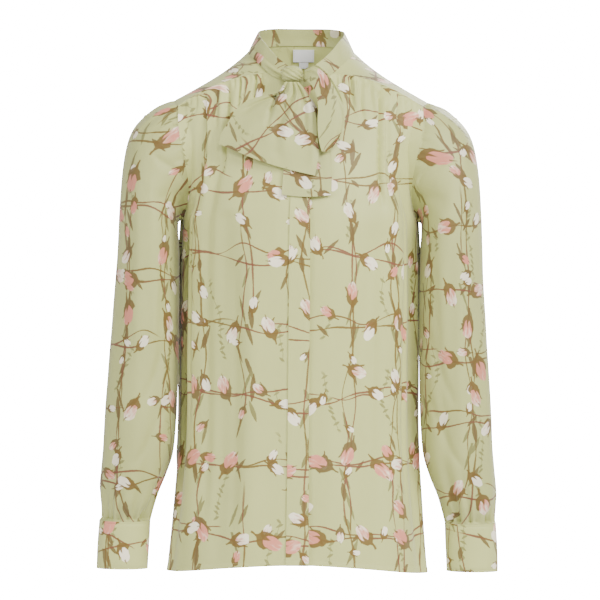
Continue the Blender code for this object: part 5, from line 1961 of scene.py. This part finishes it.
def dress_sleeves(cloths):
    """Both sleeves and their cuffs, laps and buttons."""
    for side, seed in SLEEVE_SEEDS:
        word = "left" if side > 0.0 else "right"
        rows = sleeve_grid(seed)
        band = cuff_grid()
        if side < 0.0:
            rows = mirror_rows(rows)
            band = mirror_rows(band)
        sleeve = "sleeve_" + word
        cuff = "cuff_" + word
        # The sleeve's silk carries painted shade, its inner side painted light
        cloth_piece(sleeve, rows, sleeve_places(rows, side),
                    *silk_pair(sleeve, PRINT_SHIFTS[sleeve], cloths, SLEEVE_PAINTED_SHADE), closed=True,
                    flip=side > 0.0,
                    held="gathered", rests_on=("yoke", "front_" + word, "back", cuff))
        cloth_piece(cuff, band, upright_places(band, CUFF_COLUMNS // 2, side),
                    *silk_pair(cuff, PRINT_SHIFTS[cuff], cloths), thickness=CUFF_THICK,
                    flip=side > 0.0, held="folded", rests_on=(sleeve,))
        centre = Vector((side * (CUFF_TOP_X + CUFF_BOTTOM_X) / 2.0, -CUFF_FORWARD, 0.0))
        lines = [cuff_stitch_line(band, share, centre) for share in CUFF_GROOVES]
        stitch_piece(cuff + "_stitches", lines, cuff, cloths.thread)
        dress_button(side, cloths)


def cuff_stitch_line(band, share, centre):
    """Line of stitches round a cuff, in its groove."""
    line = band[CUFF_SHARES.index(share)]
    return [point + (Vector((point.x, point.y, 0.0)) - centre).normalized() * STITCH_RISE
            for point in line]


def button_frame(side):
    """Turn and place of a cuff's button."""
    angle = CUFF_START + 2.0 * math.pi + CUFF_LAP * BUTTON_PLACE
    centre = cuff_point(angle, 0.5, LAY_GAP)
    slope = Vector((math.cos(angle) / CUFF_HALF_WIDTH, math.sin(angle) / CUFF_HALF_DEPTH, 0.0))
    if side < 0.0:
        centre = mirrored(centre)
        slope = mirrored(slope)
    turn = Vector((0.0, 0.0, 1.0)).rotation_difference(slope).to_matrix().to_4x4()
    return Matrix.Translation(centre) @ turn


def button_disc():
    """A turned disc with a rounded rim and a dished face."""
    radius = BUTTON_RADIUS
    rise = BUTTON_THICK
    profile = ((0.0, 0.0), (radius * 0.75, 0.0), (radius * 0.93, rise * 0.22), (radius, rise * 0.55),
               (radius * 0.97, rise * 0.85), (radius * 0.90, rise), (radius * 0.80, rise),
               (radius * 0.70, rise - BUTTON_DISH * 0.7), (radius * 0.55, rise - BUTTON_DISH),
               (0.0, rise - BUTTON_DISH))
    shape = bmesh.new()
    line = [shape.verts.new((across, 0.0, up)) for across, up in profile]
    edges = [shape.edges.new(pair) for pair in zip(line, line[1:])]
    bmesh.ops.spin(shape, geom=line + edges, cent=(0, 0, 0), axis=(0, 0, 1), angle=2.0 * math.pi,
                   steps=BUTTON_STEPS, use_merge=True)
    bmesh.ops.remove_doubles(shape, verts=shape.verts, dist=MERGE)
    bmesh.ops.recalc_face_normals(shape, faces=shape.faces)
    return shape_mesh("button_disc", shape)


def button_cutters():
    """Four round pegs that make the button's holes."""
    shape = bmesh.new()
    for across in (-1.0, 1.0):
        for up in (-1.0, 1.0):
            place = Matrix.Translation((across * BUTTON_HOLE_PLACE, up * BUTTON_HOLE_PLACE, 0.0))
            bmesh.ops.create_cone(shape, cap_ends=True, segments=24, radius1=BUTTON_HOLE,
                                  radius2=BUTTON_HOLE, depth=0.02, matrix=place)
    return shape_mesh("button_pegs", shape)


def thread_loop(shape, start, end, rise):
    """A strand of thread over the button from one hole to another."""
    line = []
    for index in range(9):
        share = index / 8.0
        arch = math.sin(math.pi * share) ** 0.35
        line.append(mix(Vector(start), Vector(end), share) + Vector((0.0, 0.0, rise * arch)))
    for first, last in zip(line, line[1:]):
        middle = (first + last) / 2.0
        turn = Vector((0.0, 0.0, 1.0)).rotation_difference(last - first).to_matrix().to_4x4()
        bmesh.ops.create_cone(shape, cap_ends=True, segments=8, radius1=0.00022, radius2=0.00022,
                              depth=(last - first).length * 1.15,
                              matrix=Matrix.Translation(middle) @ turn)


def dress_button(side, cloths):
    """A four-hole button with its thread, on the lap of a cuff."""
    node = "cuff_button_left" if side > 0.0 else "cuff_button_right"
    disc = new_object("button_in_work", button_disc())
    pegs = new_object("pegs_in_work", button_cutters())
    cut = disc.modifiers.new("holes", "BOOLEAN")
    cut.operation = "DIFFERENCE"
    cut.object = pegs
    mesh = plain_copy(disc)
    bpy.data.objects.remove(pegs)
    mesh.transform(button_frame(side))
    mesh.shade_smooth()
    mesh.set_sharp_from_angle(angle=EDGE_ANGLE)
    mesh.materials.clear()
    mesh.materials.append(cloths.button)
    settle(new_object(node + "_shell", mesh), node)
    shape = bmesh.new()
    low = BUTTON_THICK - BUTTON_DISH - 0.0004
    reach = BUTTON_HOLE_PLACE
    for up in (-reach, reach):
        for shift in (-0.0002, 0.0002):
            thread_loop(shape, (-reach, up + shift, low), (reach, up + shift, low), 0.0008)
    mesh = shape_mesh(node + "_thread", shape)
    mesh.transform(button_frame(side))
    mesh.shade_smooth()
    mesh.materials.append(cloths.thread)
    settle(new_object(node + "_thread", mesh), node, stands_for=False)


def tie_silk(part, cloths):
    """Silk of the neckband or one part of the tie, a little darker than the body's by painted shade."""
    return silk(part + "_silk", PRINT_SHIFTS[part], cloths, light=TIE_PAINTED_SHADE)


def tie_piece(node, part, rows, places, held, rests_on, cloths, flip=True):
    """One part of the tie, printed on both sides."""
    cloth = tie_silk(part, cloths)
    cloth_piece(node, rows, places, cloth, cloth, thickness=TIE_THICK, flip=flip, held=held,
                rests_on=(rests_on,))


def dress_neck(cloths):
    """The neckband, the tie over it and the bow."""
    outside = tie_silk("neckband", cloths)
    # The neckband's inner side: strong print, darkened with painted shade
    inside = silk("neckband_inside", PRINT_SHIFTS["neckband"], cloths, strength=BAND_INSIDE_PRINT,
                  light=BAND_INSIDE_PAINTED_SHADE)
    rows = neckband_grid()
    cloth_piece("neckband", rows, even_places(rows), outside, inside, thickness=BAND_THICK,
                held="folded", rests_on=("yoke", "front_left", "front_right"))
    rows = tie_wrap_grid()
    tie_piece("tie_wrap", "tie", rows, even_places(rows), "gathered", "neckband", cloths, flip=False)
    rows = loop_grid()
    tie_piece("bow_loop", "loop", rows, even_places(rows), "folded", "bow_knot", cloths)
    rows = tail_grid(FRONT_TAIL, FRONT_TAIL_COLUMNS, TAIL_BULGE, TAIL_SAG, True, FRONT_TAIL_CREASES)
    places = facing_places(rows, TAIL_TURN)
    tie_piece("bow_front_tail", "front_tail", rows, places, "hung", "bow_knot", cloths)
    rows = tail_grid(BACK_TAIL, BACK_TAIL_COLUMNS, 0.0, BACK_TAIL_SAG, False, BACK_TAIL_CREASES)
    places = facing_places(rows, 0.0)
    tie_piece("bow_back_tail", "back_tail", rows, places, "hung", "bow_knot", cloths)
    mesh = knot_mesh()
    mesh.shade_smooth()
    mesh.materials.append(tie_silk("knot", cloths))
    settle(new_object("bow_knot_cloth", mesh), "bow_knot")


def dress_label(cloths):
    """The blank label and its tab, sewn inside the yoke."""
    rows = nape_grid(TAB_LEFT, TAB_RIGHT, LABEL_BOTTOM - LAY_GAP, TAB_BOTTOM, *TAB_GRID)
    mesh = grid_mesh("size_tab_cloth", rows, False, True, even_places(rows))
    mesh.materials.append(cloths.label)
    tab = new_object("size_tab_cloth", thickened(mesh, LABEL_THICK))
    settle(tab, "size_tab")
    rows = nape_grid(LABEL_LEFT, LABEL_RIGHT, LABEL_TOP, LABEL_BOTTOM, *LABEL_GRID)
    cloth_piece("neck_label", rows, even_places(rows), cloths.label, cloths.label,
                thickness=LABEL_THICK, flip=True, held="laid", rests_on=("yoke",), with_pieces=(tab,))
    ends = [lifted([row[column] for row in rows], forward, STITCH_RISE) for column in LABEL_STITCH_COLUMNS]
    stitch_piece("neck_label_stitches", ends, "neck_label", cloths.thread)


def lift_world():
    """Even pale light, with a white backdrop behind the garment."""
    settings = bpy.context.scene.blouse_stage
    world = bpy.data.worlds.new("studio")
    world.use_nodes = True
    bpy.context.scene.world = world
    net = Net(world.node_tree)
    back = world.node_tree.nodes["Background"]
    back.inputs["Color"].default_value = (1.0, 1.0, 1.0, 1.0)
    seen = net.add("ShaderNodeLightPath")
    strength = Number(net, seen.outputs["Is Camera Ray"]) * (settings.backdrop - settings.fill)
    net.feed(back.inputs["Strength"], strength + settings.fill)
    return world


def soft_light(name, place, target, size, power):
    """A square soft light that faces a point."""
    light = bpy.data.lights.new(name, "AREA")
    light.shape = "SQUARE"
    light.size = size
    light.energy = power
    made = new_object(name, light)
    made.location = place
    made.rotation_euler = (Vector(target) - Vector(place)).to_track_quat("-Z", "Y").to_euler()
    return made


def stage_camera():
    """The photo's camera."""
    data = bpy.data.cameras.new("photo_camera")
    data.lens = CAMERA_LENS
    data.sensor_width = SENSOR
    camera = new_object("photo_camera", data)
    camera.location = CAMERA_PLACE
    camera.rotation_euler = Euler((math.pi / 2.0, CAMERA_ROLL, 0.0))
    bpy.context.scene.camera = camera
    return camera


def stage_floor():
    """A plain pale disc of floor, far below the garment."""
    shape = bmesh.new()
    bmesh.ops.create_circle(shape, cap_ends=True, segments=FLOOR_SEGMENTS, radius=FLOOR_SIZE / 2.0,
                            matrix=Matrix.Translation((0.0, 0.0, FLOOR_LEVEL)))
    mesh = shape_mesh("floor", shape)
    mesh.materials.append(plain_material("floor_paint", (0.85, 0.85, 0.84), 0.9, 0.01))
    new_object("floor", mesh)


class BlouseClothSettings(bpy.types.PropertyGroup):
    """Colours and grain of the printed silk."""

    ground: FloatVectorProperty(
        name="Ground", description="Colour of the silk between its flowers",
        subtype="COLOR", size=3, min=0.0, max=1.0, default=GROUND)
    stem: FloatVectorProperty(
        name="Stem", description="Colour of the stems",
        subtype="COLOR", size=3, min=0.0, max=1.0, default=STEM_COLOUR)
    calyx: FloatVectorProperty(
        name="Calyx", description="Colour of the cups that hold the buds",
        subtype="COLOR", size=3, min=0.0, max=1.0, default=CALYX_COLOUR)
    pink: FloatVectorProperty(
        name="Petals", description="Colour of the pink petals",
        subtype="COLOR", size=3, min=0.0, max=1.0, default=PINK_COLOUR)
    grain: FloatProperty(
        name="Grain", description="Distance between the threads of the weave",
        subtype="DISTANCE", unit="LENGTH", min=0.0001, max=0.01, default=0.00045)


class BlouseStageSettings(bpy.types.PropertyGroup):
    """Light of the stage."""

    key: FloatProperty(name="Key Light", description="Power of the large light at the front right",
                       subtype="POWER", min=0.0, default=KEY_POWER)
    side: FloatProperty(name="Side Light", description="Power of the light at the front left",
                        subtype="POWER", min=0.0, default=SIDE_POWER)
    front: FloatProperty(name="Front Light", description="Power of the light over the camera",
                         subtype="POWER", min=0.0, default=FRONT_POWER)
    back: FloatProperty(name="Back Light", description="Power of the light behind the garment",
                        subtype="POWER", min=0.0, default=BACK_POWER)
    fill: FloatProperty(name="Fill", description="Strength of the even light from all round",
                        min=0.0, default=FILL_STRENGTH)
    backdrop: FloatProperty(name="Backdrop", description="Brightness of the backdrop as seen",
                            min=0.0, default=BACKDROP_STRENGTH)


class BLOUSE_OT_body(bpy.types.Operator):
    """Dress the fronts, the fly, the back and the yoke"""
    bl_idname = "blouse.body"
    bl_label = "Dress Body"

    def execute(self, _context):
        """Build the body's pieces."""
        cloths = shared_cloths()
        dress_fronts(cloths)
        dress_back(cloths)
        return {"FINISHED"}


class BLOUSE_OT_sleeves(bpy.types.Operator):
    """Dress the sleeves, the cuffs and their buttons"""
    bl_idname = "blouse.sleeves"
    bl_label = "Dress Sleeves"

    def execute(self, _context):
        """Build the sleeves' pieces."""
        dress_sleeves(shared_cloths())
        return {"FINISHED"}


class BLOUSE_OT_neck(bpy.types.Operator):
    """Dress the neckband, the tie and the bow"""
    bl_idname = "blouse.neck"
    bl_label = "Dress Neck"

    def execute(self, _context):
        """Build the neck's pieces."""
        dress_neck(shared_cloths())
        return {"FINISHED"}


class BLOUSE_OT_label(bpy.types.Operator):
    """Dress the blank label and its tab"""
    bl_idname = "blouse.label"
    bl_label = "Dress Label"

    def execute(self, _context):
        """Build the label's pieces."""
        dress_label(shared_cloths())
        return {"FINISHED"}


class BLOUSE_OT_stage(bpy.types.Operator):
    """Set the camera, the light and the floor"""
    bl_idname = "blouse.stage"
    bl_label = "Set Stage"

    def execute(self, context):
        """Build the stage."""
        settings = context.scene.blouse_stage
        lift_world()
        soft_light("key_light", KEY_PLACE, LIGHT_TARGET, KEY_SIZE, settings.key)
        soft_light("side_light", SIDE_PLACE, LIGHT_TARGET, SIDE_SIZE, settings.side)
        soft_light("front_light", FRONT_PLACE, LIGHT_TARGET, FRONT_SIZE, settings.front)
        soft_light("back_light", BACK_PLACE, LIGHT_TARGET, BACK_SIZE, settings.back)
        stage_camera()
        stage_floor()
        return {"FINISHED"}


class BLOUSE_PT_panel(bpy.types.Panel):
    """Sidebar panel with the settings and the steps"""
    bl_idname = "BLOUSE_PT_panel"
    bl_label = "Silk Blouse"
    bl_space_type = "VIEW_3D"
    bl_region_type = "UI"
    bl_category = "Blouse"

    def draw(self, context):
        """Settings first, then one button for each step."""
        layout = self.layout
        for name in ("ground", "stem", "calyx", "pink", "grain"):
            layout.prop(context.scene.blouse_cloth, name)
        for name in ("key", "side", "front", "back", "fill", "backdrop"):
            layout.prop(context.scene.blouse_stage, name)
        for step in STEPS:
            layout.operator(step.bl_idname)


STEPS = (BLOUSE_OT_body, BLOUSE_OT_sleeves, BLOUSE_OT_neck, BLOUSE_OT_label, BLOUSE_OT_stage)
CLASSES = (BlouseClothSettings, BlouseStageSettings, *STEPS, BLOUSE_PT_panel)


def register():
    """Add the settings, the steps and the panel."""
    for item in CLASSES:
        bpy.utils.register_class(item)
    bpy.types.Scene.blouse_cloth = PointerProperty(type=BlouseClothSettings)
    bpy.types.Scene.blouse_stage = PointerProperty(type=BlouseStageSettings)


def unregister():
    """Take them away again."""
    del bpy.types.Scene.blouse_cloth
    del bpy.types.Scene.blouse_stage
    for item in reversed(CLASSES):
        bpy.utils.unregister_class(item)


def clear_helpers():
    """Remove the model stitch once every line is sewn."""
    shape = bpy.data.objects.get("stitch_shape")
    if shape:
        bpy.data.objects.remove(shape)


def main():
    """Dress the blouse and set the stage."""
    register()
    bpy.ops.blouse.body()
    bpy.ops.blouse.sleeves()
    bpy.ops.blouse.neck()
    bpy.ops.blouse.label()
    clear_helpers()
    bpy.ops.blouse.stage()


if __name__ == "__main__":
    main()
